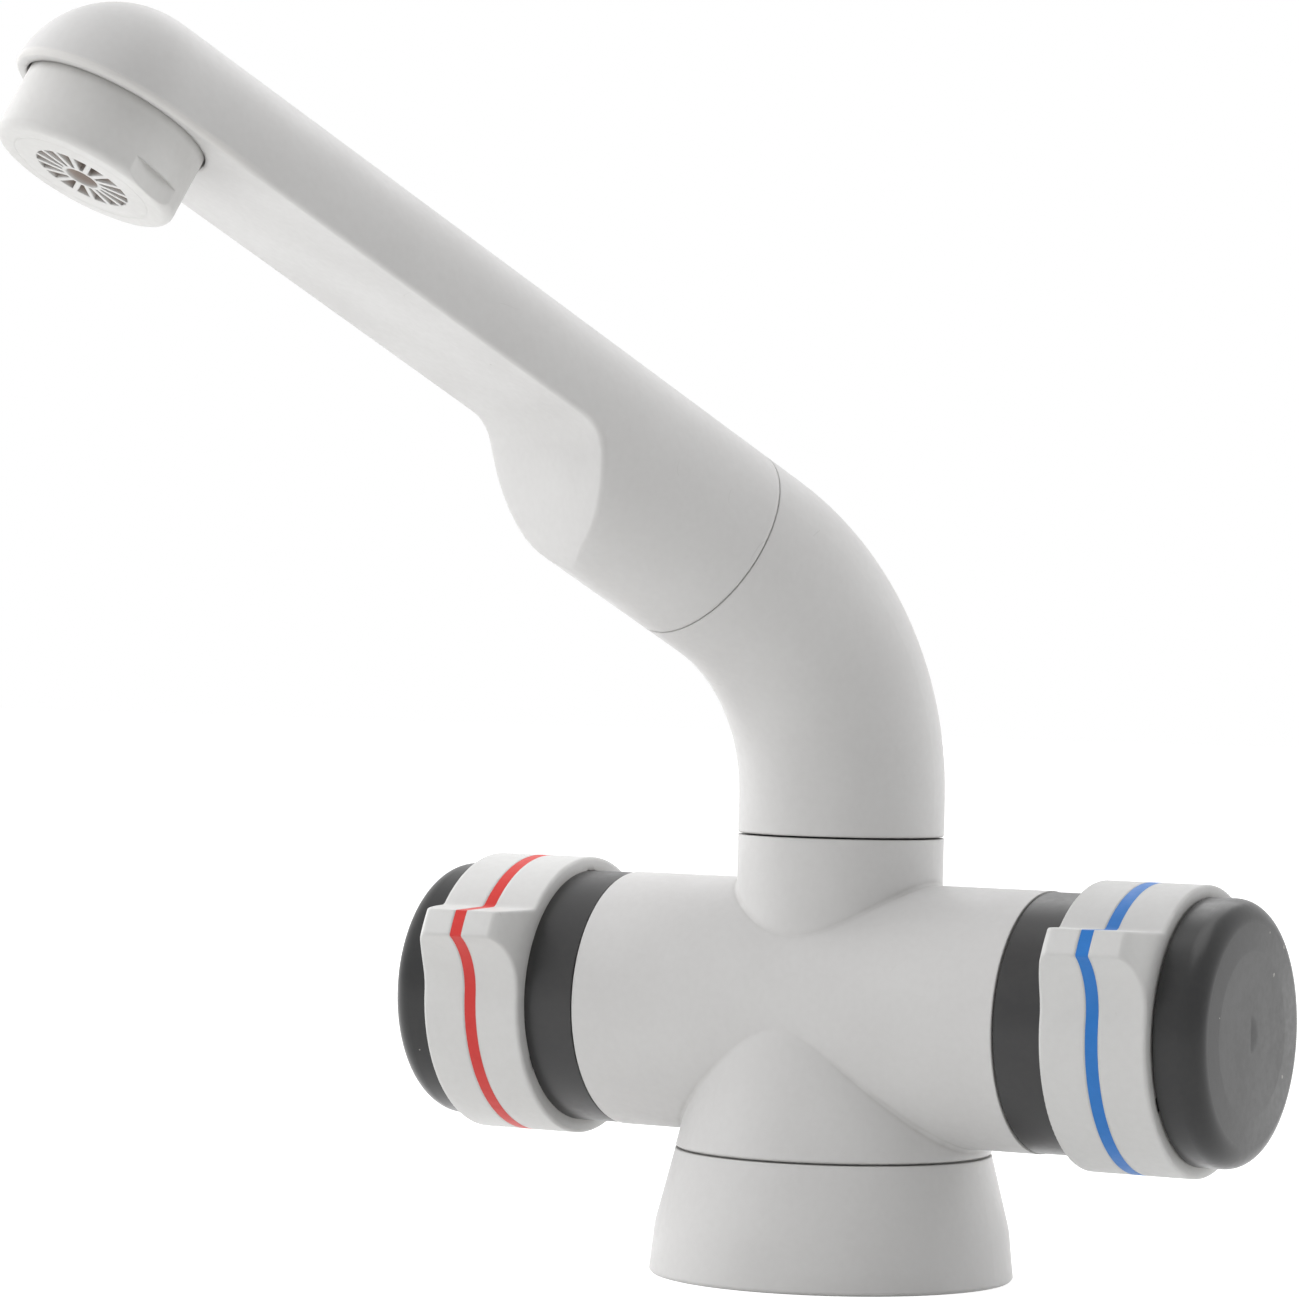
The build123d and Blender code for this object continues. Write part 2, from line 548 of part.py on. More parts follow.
def build_inlet_seal(side):
    with BuildPart() as inlet_seal:
        with BuildSketch(Plane.XY.offset(SPOT_FACE_HEIGHT - TAIL_SEAL_THICKNESS)):
            with Locations((side.sign * INLET_X, INLET_Y)):
                Circle(TAIL_FLANGE_RADIUS)
                Circle(INLET_THREAD_RADIUS, mode=Mode.SUBTRACT)
        extrude(amount=TAIL_SEAL_THICKNESS)
    return inlet_seal


# Ceramic valve, in the order in which it goes into its socket
def cut_ports(side):
    """Cut the two water ports through a flat piece of the valve."""
    with BuildSketch(cross_plane(side, SOCKET_FLOOR)) as ports:
        with Locations((-INLET_Y, -INLET_PORT_DROP)):
            Circle(INLET_PORT_RADIUS)
        with Locations((0, OUTLET_PORT_RISE)):
            Circle(OUTLET_PORT_RADIUS)
    extrude(ports.sketch, amount=FIXED_DISC_END - SOCKET_FLOOR, both=True, mode=Mode.SUBTRACT)


def build_valve_seal(side):
    with BuildPart() as valve_seal:
        turn_on_barrel(
            side,
            (
                (SOCKET_FLOOR, 0),
                (SOCKET_FLOOR, VALVE_SEAL_RADIUS),
                (VALVE_FLOOR, VALVE_SEAL_RADIUS),
                (VALVE_FLOOR, 0),
            ),
        )
        cut_ports(side)
    return valve_seal


def build_fixed_disc(side):
    with BuildPart() as fixed_disc:
        turn_on_barrel(
            side,
            (
                (VALVE_FLOOR, 0),
                (VALVE_FLOOR, DISC_RADIUS),
                (FIXED_DISC_END, DISC_RADIUS),
                (FIXED_DISC_END, 0),
            ),
        )
        cut_ports(side)
    return fixed_disc


def build_turning_disc(side):
    """Disc with a pocket that joins the two ports when the knob is a quarter turn on."""
    with BuildPart() as turning_disc:
        turn_on_barrel(
            side,
            (
                (TURNING_DISC_START, 0),
                (TURNING_DISC_START, TURNING_DISC_RADIUS),
                (TURNING_DISC_END, TURNING_DISC_RADIUS),
                (TURNING_DISC_END, 0),
            ),
        )
        with BuildSketch(cross_plane(side, TURNING_DISC_START)):
            SlotOverall(POCKET_LENGTH, POCKET_WIDTH)
        extrude(amount=POCKET_DEPTH, both=True, mode=Mode.SUBTRACT)
    return turning_disc


def build_valve_housing(side):
    with BuildPart() as valve_housing:
        turn_on_barrel(
            side,
            (
                (VALVE_FLOOR, HOUSING_CAVITY_RADIUS),
                (VALVE_FLOOR, HOUSING_RADIUS),
                (SOCKET_MOUTH, HOUSING_RADIUS),
                (SOCKET_MOUTH, HOUSING_FLANGE_RADIUS),
                (NUT_START, HOUSING_FLANGE_RADIUS),
                (NUT_START, HOUSING_NOSE_RADIUS),
                (HOUSING_NOSE_END, HOUSING_NOSE_RADIUS),
                (HOUSING_NOSE_END, SPINDLE_RADIUS + SPINDLE_BORE_CLEARANCE),
                (HOUSING_CAVITY_END, SPINDLE_RADIUS + SPINDLE_BORE_CLEARANCE),
                (HOUSING_CAVITY_END, HOUSING_CAVITY_RADIUS),
            ),
        )
        edges_by_x = valve_housing.edges().filter_by(GeomType.CIRCLE).group_by(Axis.X)
        nose_edges = edges_by_x[-1] if side is COLD else edges_by_x[0]
        chamfer(nose_edges.sort_by(SortBy.RADIUS)[-1], length=HOUSING_CHAMFER)
    return valve_housing


def build_valve_nut(side):
    with BuildPart() as valve_nut:
        nut_end = NUT_START + NUT_THICKNESS
        turn_on_barrel(
            side,
            (
                (NUT_START, NUT_HOLE_RADIUS),
                (NUT_START, HOUSING_FLANGE_RADIUS),
                (nut_end, HOUSING_FLANGE_RADIUS),
                (nut_end, NUT_HOLE_RADIUS),
            ),
        )
        with BuildSketch(cross_plane(side, nut_end)):
            with PolarLocations((NUT_HOLE_RADIUS + HOUSING_FLANGE_RADIUS) / 2, NUT_NOTCHES):
                Rectangle(2 * HOUSING_FLANGE_RADIUS, NUT_NOTCH_WIDTH)
            Circle(NUT_NOTCH_INNER_RADIUS, mode=Mode.SUBTRACT)
        extrude(amount=NUT_NOTCH_DEPTH, both=True, mode=Mode.SUBTRACT)
    return valve_nut


def build_spindle(side):
    """Foot that drives the disc, shaft in the housing and a tip with two flats for the knob."""
    with BuildPart() as spindle:
        turn_on_barrel(
            side,
            (
                (TURNING_DISC_END, 0),
                (TURNING_DISC_END, TURNING_DISC_RADIUS),
                (SPINDLE_FOOT_END, TURNING_DISC_RADIUS),
                (SPINDLE_FOOT_END, SPINDLE_RADIUS),
                (SPINDLE_SHOULDER, SPINDLE_RADIUS),
                (SPINDLE_SHOULDER, SPINDLE_TIP_RADIUS),
                (SPINDLE_END, SPINDLE_TIP_RADIUS),
                (SPINDLE_END, 0),
            ),
        )
        with BuildSketch(cross_plane(side, SPINDLE_END)):
            Circle(SPINDLE_RADIUS)
            Rectangle(2 * SPINDLE_RADIUS, 2 * SPINDLE_FLAT, mode=Mode.SUBTRACT)
        extrude(amount=side.sign * (SPINDLE_END - SPINDLE_SHOULDER), mode=Mode.SUBTRACT)
        with BuildSketch(cross_plane(side, SPINDLE_END)):
            Circle(SCREW_RADIUS + SCREW_HOLE_CLEARANCE)
        extrude(amount=side.sign * SPINDLE_SCREW_HOLE, mode=Mode.SUBTRACT)
    return spindle


# Knobs
def knob_plane(side):
    """Plane across the ring's middle, turned so that the ridge stands at the side's own angle."""
    return cross_plane(side, RING_MIDDLE, side.nose_angle - NOSE_RIDGE_ANGLE)


def draw_knob_section():
    """Section of ring and nose: land on top, hollow below it, and a flat ledge above."""
    hollow_low = RING_RADIUS * sin(radians(NOSE_HOLLOW_ANGLE))
    Circle(NOSE_RADIUS)
    with Locations((0, hollow_low)):
        Rectangle(
            NOSE_RADIUS,
            NOSE_LEDGE_HEIGHT - hollow_low,
            align=(Align.MIN, Align.MIN),
            mode=Mode.INTERSECT,
        )
    with PolarLocations(NOSE_HOLLOW_DISTANCE, 1, start_angle=NOSE_HOLLOW_ANGLE):
        Circle(NOSE_HOLLOW_RADIUS, mode=Mode.SUBTRACT)
    Circle(RING_RADIUS)


def round_knob_section(section):
    """Round the nose's two tip corners and the root of its ledge."""
    corners = section.vertices().filter_by(lambda corner: Vector(corner).length > NOSE_RADIUS - TOLERANCE)
    fillet(corners, radius=NOSE_CORNER)
    root = (sqrt(RING_RADIUS**2 - NOSE_LEDGE_HEIGHT**2), NOSE_LEDGE_HEIGHT, 0)
    fillet(section.vertices().sort_by_distance(root)[0], radius=NOSE_ROOT_FILLET)


def build_grip_ring(side):
    """Grip ring with its thumb nose: the section run along the barrel, narrowed towards the tip."""
    with BuildPart() as grip_ring:
        # Envelope turned about the barrel axis: its sides draw in and round over outside the ring
        with BuildSketch(lengthwise_plane(side)):
            with BuildLine():
                side_top = (RING_MIDDLE - NOSE_TIP_HALF_WIDTH, NOSE_RADIUS)
                Spline(
                    (RING_INNER_END, RING_RADIUS),
                    (RING_MIDDLE - NOSE_SHOULDER_HALF_WIDTH, NOSE_SHOULDER_RADIUS),
                    side_top,
                    tangents=((0, 1), (1, NOSE_TIP_SLOPE)),
                )
                Polyline(
                    side_top,
                    (RING_MIDDLE, NOSE_RADIUS + RING_EDGE),
                    (RING_MIDDLE, 0),
                    (RING_INNER_END, 0),
                    (RING_INNER_END, RING_RADIUS),
                )
            make_face()
            mirror(about=Plane.YZ.offset(RING_MIDDLE))
        revolve(axis=BARREL_AXIS)
        with BuildSketch(knob_plane(side)) as section:
            draw_knob_section()
            round_knob_section(section)
        extrude(amount=RING_HALF_WIDTH, both=True, mode=Mode.INTERSECT)
        ring_edges = grip_ring.edges().filter_by(GeomType.CIRCLE).filter_by(
            lambda edge: abs(edge.radius - RING_RADIUS) < TOLERANCE
        )
        fillet(ring_edges, radius=RING_EDGE)
        # Bore with its key slots, and the groove for the coloured stripe
        with BuildSketch(cross_plane(side, RING_MIDDLE)):
            Circle(RING_BORE_RADIUS)
            with PolarLocations(RING_BORE_RADIUS, KEY_COUNT, start_angle=90):
                Rectangle(2 * KEY_HEIGHT, KEY_WIDTH)
        extrude(amount=RING_HALF_WIDTH, both=True, mode=Mode.SUBTRACT)
        add(stripe_band(side), mode=Mode.SUBTRACT)
    return grip_ring


def stripe_band(side):
    """Closed band that follows the knob's section just under its surface."""
    with BuildPart() as band:
        with BuildSketch(knob_plane(side)) as section:
            draw_knob_section()
            round_knob_section(section)
            offset(amount=-STRIPE_DEPTH, mode=Mode.SUBTRACT)
        extrude(amount=STRIPE_WIDTH / 2, both=True)
    return band.part


def build_stripe(side):
    with BuildPart() as stripe:
        add(stripe_band(side))
    return stripe


def build_knob_hub(side):
    """Black hub: collar beside the barrel, sleeve under the ring, and a boss on the spindle."""
    with BuildPart() as knob_hub:
        turn_on_barrel(
            side,
            (
                (HUB_INNER_END, HUB_HOLLOW_RADIUS),
                (HUB_INNER_END, HUB_COLLAR_RADIUS),
                (RING_INNER_END, HUB_COLLAR_RADIUS),
                (RING_INNER_END, HUB_SLEEVE_RADIUS),
                (RING_OUTER_END, HUB_SLEEVE_RADIUS),
                (RING_OUTER_END, HUB_CAP_BORE_RADIUS),
                (HUB_WEB_OUTER, HUB_CAP_BORE_RADIUS),
                (HUB_WEB_OUTER, 0),
                (HUB_BOSS_INNER_END, 0),
                (HUB_BOSS_INNER_END, HUB_BOSS_RADIUS),
                (HUB_WEB_INNER, HUB_BOSS_RADIUS),
                (HUB_WEB_INNER, HUB_HOLLOW_RADIUS),
            ),
        )
        with BuildSketch(cross_plane(side, RING_MIDDLE)):
            with PolarLocations(RING_BORE_RADIUS, KEY_COUNT, start_angle=90):
                Rectangle(2 * (KEY_HEIGHT - LAP_CLEARANCE), KEY_WIDTH - LAP_CLEARANCE)
            Circle(HUB_CAP_BORE_RADIUS, mode=Mode.SUBTRACT)
        extrude(amount=RING_HALF_WIDTH, both=True)
        # Spindle bore with its two flats, and the screw hole in the web
        with BuildSketch(cross_plane(side, HUB_WEB_INNER)):
            Circle(SPINDLE_TIP_RADIUS + FIT_CLEARANCE)
            Rectangle(2 * SPINDLE_RADIUS, 2 * (SPINDLE_FLAT + FIT_CLEARANCE), mode=Mode.INTERSECT)
        extrude(amount=side.sign * (HUB_WEB_INNER - HUB_BOSS_INNER_END), mode=Mode.SUBTRACT)
        with BuildSketch(cross_plane(side, HUB_WEB_OUTER)):
            Circle(SCREW_RADIUS + SCREW_HOLE_CLEARANCE)
        extrude(amount=side.sign * (HUB_WEB_OUTER - HUB_WEB_INNER), mode=Mode.SUBTRACT)
    return knob_hub


def build_end_cap(side):
    """Black cap with a rounded rim, a shallow dish and a snap-in spigot."""
    with BuildPart() as end_cap:
        with BuildSketch(lengthwise_plane(side)):
            with BuildLine():
                Polyline(
                    (CAP_END - CAP_DISH_DEPTH, 0),
                    (CAP_START, 0),
                    (CAP_START, CAP_NECK_RADIUS),
                    (CAP_START + CAP_NECK, CAP_NECK_RADIUS),
                    (CAP_START + CAP_NECK, CAP_RADIUS),
                    (CAP_END - CAP_ROUND, CAP_RADIUS),
                )
                RadiusArc(
                    (CAP_END - CAP_ROUND, CAP_RADIUS),
                    (CAP_END, CAP_RADIUS - CAP_ROUND),
                    CAP_ROUND,
                )
                Line((CAP_END, CAP_RADIUS - CAP_ROUND), (CAP_END, CAP_DISH_RADIUS))
                TangentArc(
                    (CAP_END - CAP_DISH_DEPTH, 0),
                    (CAP_END, CAP_DISH_RADIUS),
                    tangent=(0, 1),
                )
            make_face()
        revolve(axis=BARREL_AXIS)
        turn_on_barrel(
            side,
            (
                (CAP_START - CAP_SPIGOT_LENGTH, HUB_CAP_BORE_RADIUS - FIT_CLEARANCE),
                (CAP_START, HUB_CAP_BORE_RADIUS - FIT_CLEARANCE),
                (CAP_START, HUB_CAP_BORE_RADIUS - CAP_SPIGOT_WALL),
                (CAP_START - CAP_SPIGOT_LENGTH, HUB_CAP_BORE_RADIUS - CAP_SPIGOT_WALL),
            ),
        )
    return end_cap


def build_knob_screw(side):
    with BuildPart() as knob_screw:
        turn_on_barrel(
            side,
            (
                (HUB_WEB_OUTER - SCREW_LENGTH, 0),
                (HUB_WEB_OUTER - SCREW_LENGTH, SCREW_RADIUS),
                (HUB_WEB_OUTER, SCREW_RADIUS),
                (HUB_WEB_OUTER, SCREW_HEAD_RADIUS),
                (HUB_WEB_OUTER + SCREW_HEAD, SCREW_HEAD_TOP_RADIUS),
                (HUB_WEB_OUTER + SCREW_HEAD, 0),
            ),
        )
        # Cross recess
        with BuildSketch(cross_plane(side, HUB_WEB_OUTER + SCREW_HEAD)):
            Rectangle(SCREW_HEAD_RADIUS, SCREW_RECESS_WIDTH)
            Rectangle(SCREW_RECESS_WIDTH, SCREW_HEAD_RADIUS)
        extrude(amount=SCREW_RECESS_DEPTH, both=True, mode=Mode.SUBTRACT)
    return knob_screw


PIECES_PER_SIDE = {
    "inlet_tail": build_inlet_tail,
    "inlet_seal": build_inlet_seal,
    "valve_seal": build_valve_seal,
    "fixed_disc": build_fixed_disc,
    "turning_disc": build_turning_disc,
    "valve_housing": build_valve_housing,
    "valve_nut": build_valve_nut,
    "spindle": build_spindle,
    "knob_hub": build_knob_hub,
    "grip_ring": build_grip_ring,
    "stripe": build_stripe,
    "end_cap": build_end_cap,
    "knob_screw": build_knob_screw,
}
for side in (HOT, COLD):
    for piece_name, build_piece in PIECES_PER_SIDE.items():
        save(build_piece(side), f"{side.name}_{piece_name}")


# Spout socket: screwed into the valve block inside the stub, it takes the elbow's spigot
with BuildPart() as spout_socket:
    turn_upright(
        (
            (MIXING_RADIUS, SOCKET_TUBE_BOTTOM),
            (SOCKET_TUBE_THREAD_RADIUS, SOCKET_TUBE_BOTTOM),
            (SOCKET_TUBE_THREAD_RADIUS, SOCKET_TUBE_THREAD_TOP),
            (SOCKET_TUBE_RADIUS, SOCKET_TUBE_THREAD_TOP),
            (SOCKET_TUBE_RADIUS, STUB_TOP),
            (WASHER_OUTER_RADIUS + LAP_CLEARANCE, STUB_TOP),
            (WASHER_OUTER_RADIUS + LAP_CLEARANCE, WASHER_SEAT),
            (SPIGOT_HOLE_RADIUS, WASHER_SEAT),
            (SPIGOT_HOLE_RADIUS, CLIP_GROOVE_HIGH),
            (CLIP_GROOVE_RADIUS, CLIP_GROOVE_HIGH),
            (CLIP_GROOVE_RADIUS, CLIP_GROOVE_LOW),
            (SPIGOT_HOLE_RADIUS, CLIP_GROOVE_LOW),
            (SPIGOT_HOLE_RADIUS, SPIGOT_HOLE_FLOOR),
            (MIXING_RADIUS, SPIGOT_HOLE_FLOOR),
        )
    )
save(spout_socket, "spout_socket")


with BuildPart() as spout_socket_seal:
    with BuildSketch(Plane.XY.offset(SPOUT_HOLE_FLOOR)):
        Circle(SPOUT_HOLE_RADIUS - LAP_CLEARANCE)
        Circle(SOCKET_SEAL_INNER_RADIUS, mode=Mode.SUBTRACT)
    extrude(amount=SOCKET_TUBE_BOTTOM - SPOUT_HOLE_FLOOR)
save(spout_socket_seal, "spout_socket_seal")


with BuildPart() as glide_washer:
    with BuildSketch(Plane.XY.offset(WASHER_SEAT)):
        Circle(WASHER_OUTER_RADIUS)
        Circle(WASHER_INNER_RADIUS, mode=Mode.SUBTRACT)
    extrude(amount=WASHER_TOP - WASHER_SEAT)
save(glide_washer, "glide_washer")


# Spout elbow: a bend swept from the stub to the arm, with a grooved spigot below
bend_plane = Plane(
    origin=(0, 0, 0),
    x_dir=(cos(radians(SPOUT_AZIMUTH)), sin(radians(SPOUT_AZIMUTH)), 0),
    z_dir=(sin(radians(SPOUT_AZIMUTH)), -cos(radians(SPOUT_AZIMUTH)), 0),
)
bend_end = (
    BEND_RADIUS * (1 - cos(radians(ELBOW_TURN))),
    BEND_START + BEND_RADIUS * sin(radians(ELBOW_TURN)),
)
arm_direction = (cos(radians(ARM_ELEVATION)), sin(radians(ARM_ELEVATION)))

with BuildPart() as spout_elbow:
    with BuildLine(bend_plane) as bend:
        Line((0, ELBOW_BOTTOM), (0, BEND_START))
        JernArc((0, BEND_START), (0, 1), BEND_RADIUS, -ELBOW_TURN)
        Line(
            bend_end,
            (bend_end[0] + ELBOW_END * arm_direction[0], bend_end[1] + ELBOW_END * arm_direction[1]),
        )
    with BuildSketch(Plane.XY.offset(ELBOW_BOTTOM)):
        Circle(SPOUT_RADIUS)
        Circle(SPOUT_BORE_RADIUS, mode=Mode.SUBTRACT)
    sweep(path=bend.wire())
    with BuildSketch(Plane.XY.offset(ELBOW_BOTTOM)):
        Circle((SPOUT_BORE_RADIUS + SPOUT_RADIUS) / 2)
    extrude(amount=ELBOW_FLOOR)
    spigot_outline = [(0, ELBOW_BOTTOM), (SPIGOT_RADIUS, ELBOW_BOTTOM)]
    for groove_height in reversed(SWIVEL_GROOVE_HEIGHTS):
        spigot_outline += [
            (SPIGOT_RADIUS, groove_height + SWIVEL_GROOVE_WIDTH / 2),
            (SWIVEL_GROOVE_FLOOR, groove_height + SWIVEL_GROOVE_WIDTH / 2),
            (SWIVEL_GROOVE_FLOOR, groove_height - SWIVEL_GROOVE_WIDTH / 2),
            (SPIGOT_RADIUS, groove_height - SWIVEL_GROOVE_WIDTH / 2),
        ]
    spigot_outline += [
        (SPIGOT_RADIUS, CLIP_HIGH),
        (CLIP_INNER_RADIUS, CLIP_HIGH),
        (CLIP_INNER_RADIUS, CLIP_LOW),
        (SPIGOT_RADIUS, CLIP_LOW),
        (SPIGOT_RADIUS, SPIGOT_BOTTOM),
        (0, SPIGOT_BOTTOM),
    ]
    turn_upright(spigot_outline)
    with BuildSketch(Plane.XY.offset(SPIGOT_BOTTOM)):
        Circle(SPIGOT_BORE_RADIUS)
    extrude(amount=ELBOW_BOTTOM + ELBOW_FLOOR - SPIGOT_BOTTOM, mode=Mode.SUBTRACT)
    bottom_edges = edges_at_height(spout_elbow, ELBOW_BOTTOM)
    chamfer(bottom_edges.sort_by(SortBy.LENGTH)[-1], length=ELBOW_EDGE)
save(spout_elbow, "spout_elbow")


# Swivel seals: two O-rings in the spigot's grooves
with BuildPart() as swivel_seals:
    ring_radius = (SPIGOT_RADIUS - SWIVEL_GROOVE_FLOOR) / 2
    with Locations(*[(0, 0, height) for height in SWIVEL_GROOVE_HEIGHTS]):
        Torus(SWIVEL_GROOVE_FLOOR + ring_radius, ring_radius)
save(swivel_seals, "swivel_seals")


# Swivel clip: split ring that lets the spout turn but not lift out
with BuildPart() as swivel_clip:
    with BuildSketch(Plane.XY.offset(CLIP_LOW)):
        Circle(CLIP_OUTER_RADIUS)
        Circle(CLIP_INNER_RADIUS, mode=Mode.SUBTRACT)
        with Locations((0, CLIP_OUTER_RADIUS)):
            Rectangle(CLIP_GAP, 2 * CLIP_OUTER_RADIUS - CLIP_INNER_RADIUS, mode=Mode.SUBTRACT)
    extrude(amount=CLIP_HIGH - CLIP_LOW)
save(swivel_clip, "swivel_clip")


# Frame of the arm: x along the arm from the end of the bend, z out of its rounded back
arm_origin = bend_plane.from_local_coords((bend_end[0], bend_end[1], 0))
arm_axis = bend_plane.from_local_coords((arm_direction[0], arm_direction[1], 0))
arm_back = bend_plane.from_local_coords((-arm_direction[1], arm_direction[0], 0))
arm_frame = Plane(
    origin=arm_origin,
    x_dir=arm_axis,
    z_dir=arm_back.rotate(Axis((0, 0, 0), arm_axis), ARM_ROLL),
)


def across_arm(station):
    """Plane across the arm at a distance along it: x sideways, y out of its back."""
    origin = arm_frame.from_local_coords((station, 0, 0))
    return Plane(origin=origin, x_dir=arm_frame.y_dir, z_dir=arm_frame.x_dir)


def along_arm(station=0):
    """Plane that halves the arm lengthwise: x along the arm, y out of its back."""
    origin = arm_frame.from_local_coords((station, 0, 0))
    return Plane(origin=origin, x_dir=arm_frame.x_dir, z_dir=-arm_frame.y_dir)


def outlet_plane(height):
    """Plane across the outlet's axis, at a height above the arm's underside."""
    origin = arm_frame.from_local_coords((OUTLET_STATION, 0, height))
    return Plane(origin=origin, x_dir=arm_frame.x_dir, z_dir=arm_frame.z_dir)


def turn_on_arm(outline, mode=Mode.ADD):
    """Turn (distance, radius) corners about the arm's axis, in the part being built."""
    with BuildSketch(along_arm()) as section:
        with BuildLine():
            Polyline(*outline, close=True)
        make_face()
    revolve(section.sketch, axis=Axis(arm_frame.origin, arm_frame.x_dir), mode=mode)


def turn_on_outlet(outline, mode=Mode.ADD):
    """Turn (radius, height) corners about the outlet's axis, in the part being built."""
    with BuildSketch(along_arm(OUTLET_STATION)) as section:
        with BuildLine():
            Polyline(*outline, close=True)
        make_face()
    revolve(section.sketch, axis=Axis(outlet_plane(0).origin, arm_frame.z_dir), mode=mode)


def borders_scoop(edge):
    """Tell an edge between the scooped underside and the arm's rounded back."""
    points = [arm_frame.to_local_coords(edge @ place) for place in (0, 0.5, 1)]
    on_back = all(
        point.X > OUTLET_STATION or abs(sqrt(point.Y**2 + point.Z**2) - SPOUT_RADIUS) < TOLERANCE
        for point in points
    )
    return on_back and points[1].Z < TOLERANCE and points[1].X > ROOT_BORE_END


# Spout arm: a tube with a domed end, scooped to a half-round behind its root
with BuildPart() as spout_arm:
    arm_start = ELBOW_END + ARM_SEAM_GAP
    with BuildSketch(across_arm(arm_start)):
        Circle(SPOUT_RADIUS)
    extrude(amount=OUTLET_STATION - arm_start)
    with Locations(outlet_plane(0).origin):
        Sphere(SPOUT_RADIUS)
    # Scoop: an S of two arcs and a slope, run across the arm
    slope = radians(SCOOP_SLOPE)
    top_run = SCOOP_TOP_RADIUS * sin(slope)
    top_drop = SCOOP_TOP_RADIUS * (1 - cos(slope))
    bottom_run = SCOOP_BOTTOM_RADIUS * sin(slope)
    bottom_rise = SCOOP_BOTTOM_RADIUS * (1 - cos(slope))
    slope_drop = SCOOP_DEPTH - top_drop - bottom_rise
    slope_top = (SCOOP_TOP_END - top_run, -top_drop)
    slope_bottom = (slope_top[0] - slope_drop / tan(slope), slope_top[1] - slope_drop)
    scoop_bottom = (slope_bottom[0] - bottom_run, -SCOOP_DEPTH)
    arm_tip = OUTLET_STATION + 2 * SPOUT_RADIUS
    with BuildSketch(along_arm()):
        with BuildLine():
            JernArc((SCOOP_TOP_END, 0), (-1, 0), SCOOP_TOP_RADIUS, SCOOP_SLOPE)
            Line(slope_top, slope_bottom)
            JernArc(scoop_bottom, (1, 0), SCOOP_BOTTOM_RADIUS, SCOOP_SLOPE)
            Polyline(
                scoop_bottom,
                (scoop_bottom[0], -2 * SPOUT_RADIUS),
                (arm_tip, -2 * SPOUT_RADIUS),
                (arm_tip, 0),
                (SCOOP_TOP_END, 0),
            )
        make_face()
    extrude(amount=2 * SPOUT_RADIUS, both=True, mode=Mode.SUBTRACT)
    crease = [edge for edge in spout_arm.edges() if borders_scoop(edge)]
    fillet(crease, radius=SCOOP_CREASE)
    # Spigot that pushes into the elbow, grooved for its seal
    groove_start = ARM_GROOVE_CENTRE - ARM_GROOVE_WIDTH / 2
    groove_end = ARM_GROOVE_CENTRE + ARM_GROOVE_WIDTH / 2
    turn_on_arm(
        (
            (ARM_SPIGOT_START, 0),
            (ARM_SPIGOT_START, ARM_SPIGOT_RADIUS),
            (groove_start, ARM_SPIGOT_RADIUS),
            (groove_start, ARM_GROOVE_FLOOR),
            (groove_end, ARM_GROOVE_FLOOR),
            (groove_end, ARM_SPIGOT_RADIUS),
            (arm_start, ARM_SPIGOT_RADIUS),
            (arm_start, 0),
        )
    )
    # Waterway: wide root, narrow run above the underside, and the chamber over the outlet
    with BuildSketch(across_arm(ARM_SPIGOT_START)):
        Circle(ARM_SPIGOT_BORE)
    extrude(amount=ROOT_BORE_END - ARM_SPIGOT_START, mode=Mode.SUBTRACT)
    with BuildSketch(across_arm(WATERWAY_START)):
        with Locations((0, WATERWAY_HEIGHT)):
            Circle(WATERWAY_RADIUS)
    extrude(amount=OUTLET_STATION - WATERWAY_START, mode=Mode.SUBTRACT)
    turn_on_outlet(
        (
            (0, -RECESS_HEIGHT),
            (RECESS_RADIUS, -RECESS_HEIGHT),
            (RECESS_RADIUS, RECESS_HEIGHT),
            (NECK_SOCKET_RADIUS, RECESS_HEIGHT),
            (NECK_SOCKET_RADIUS, NECK_SOCKET_HEIGHT),
            (CHAMBER_RADIUS, NECK_SOCKET_HEIGHT),
            (CHAMBER_RADIUS, CHAMBER_HEIGHT),
            (0, CHAMBER_HEIGHT),
        ),
        mode=Mode.SUBTRACT,
    )
save(spout_arm, "spout_arm")


# Arm seal: O-ring in the spigot's groove
with BuildPart() as arm_seal:
    cord_radius = (SPOUT_BORE_RADIUS - ARM_GROOVE_FLOOR) / 2 - LAP_CLEARANCE / 2
    with BuildSketch(along_arm(ARM_GROOVE_CENTRE)):
        with Locations((0, ARM_GROOVE_FLOOR + cord_radius)):
            Circle(cord_radius)
    revolve(axis=Axis(arm_frame.origin, arm_frame.x_dir))
save(arm_seal, "arm_seal")


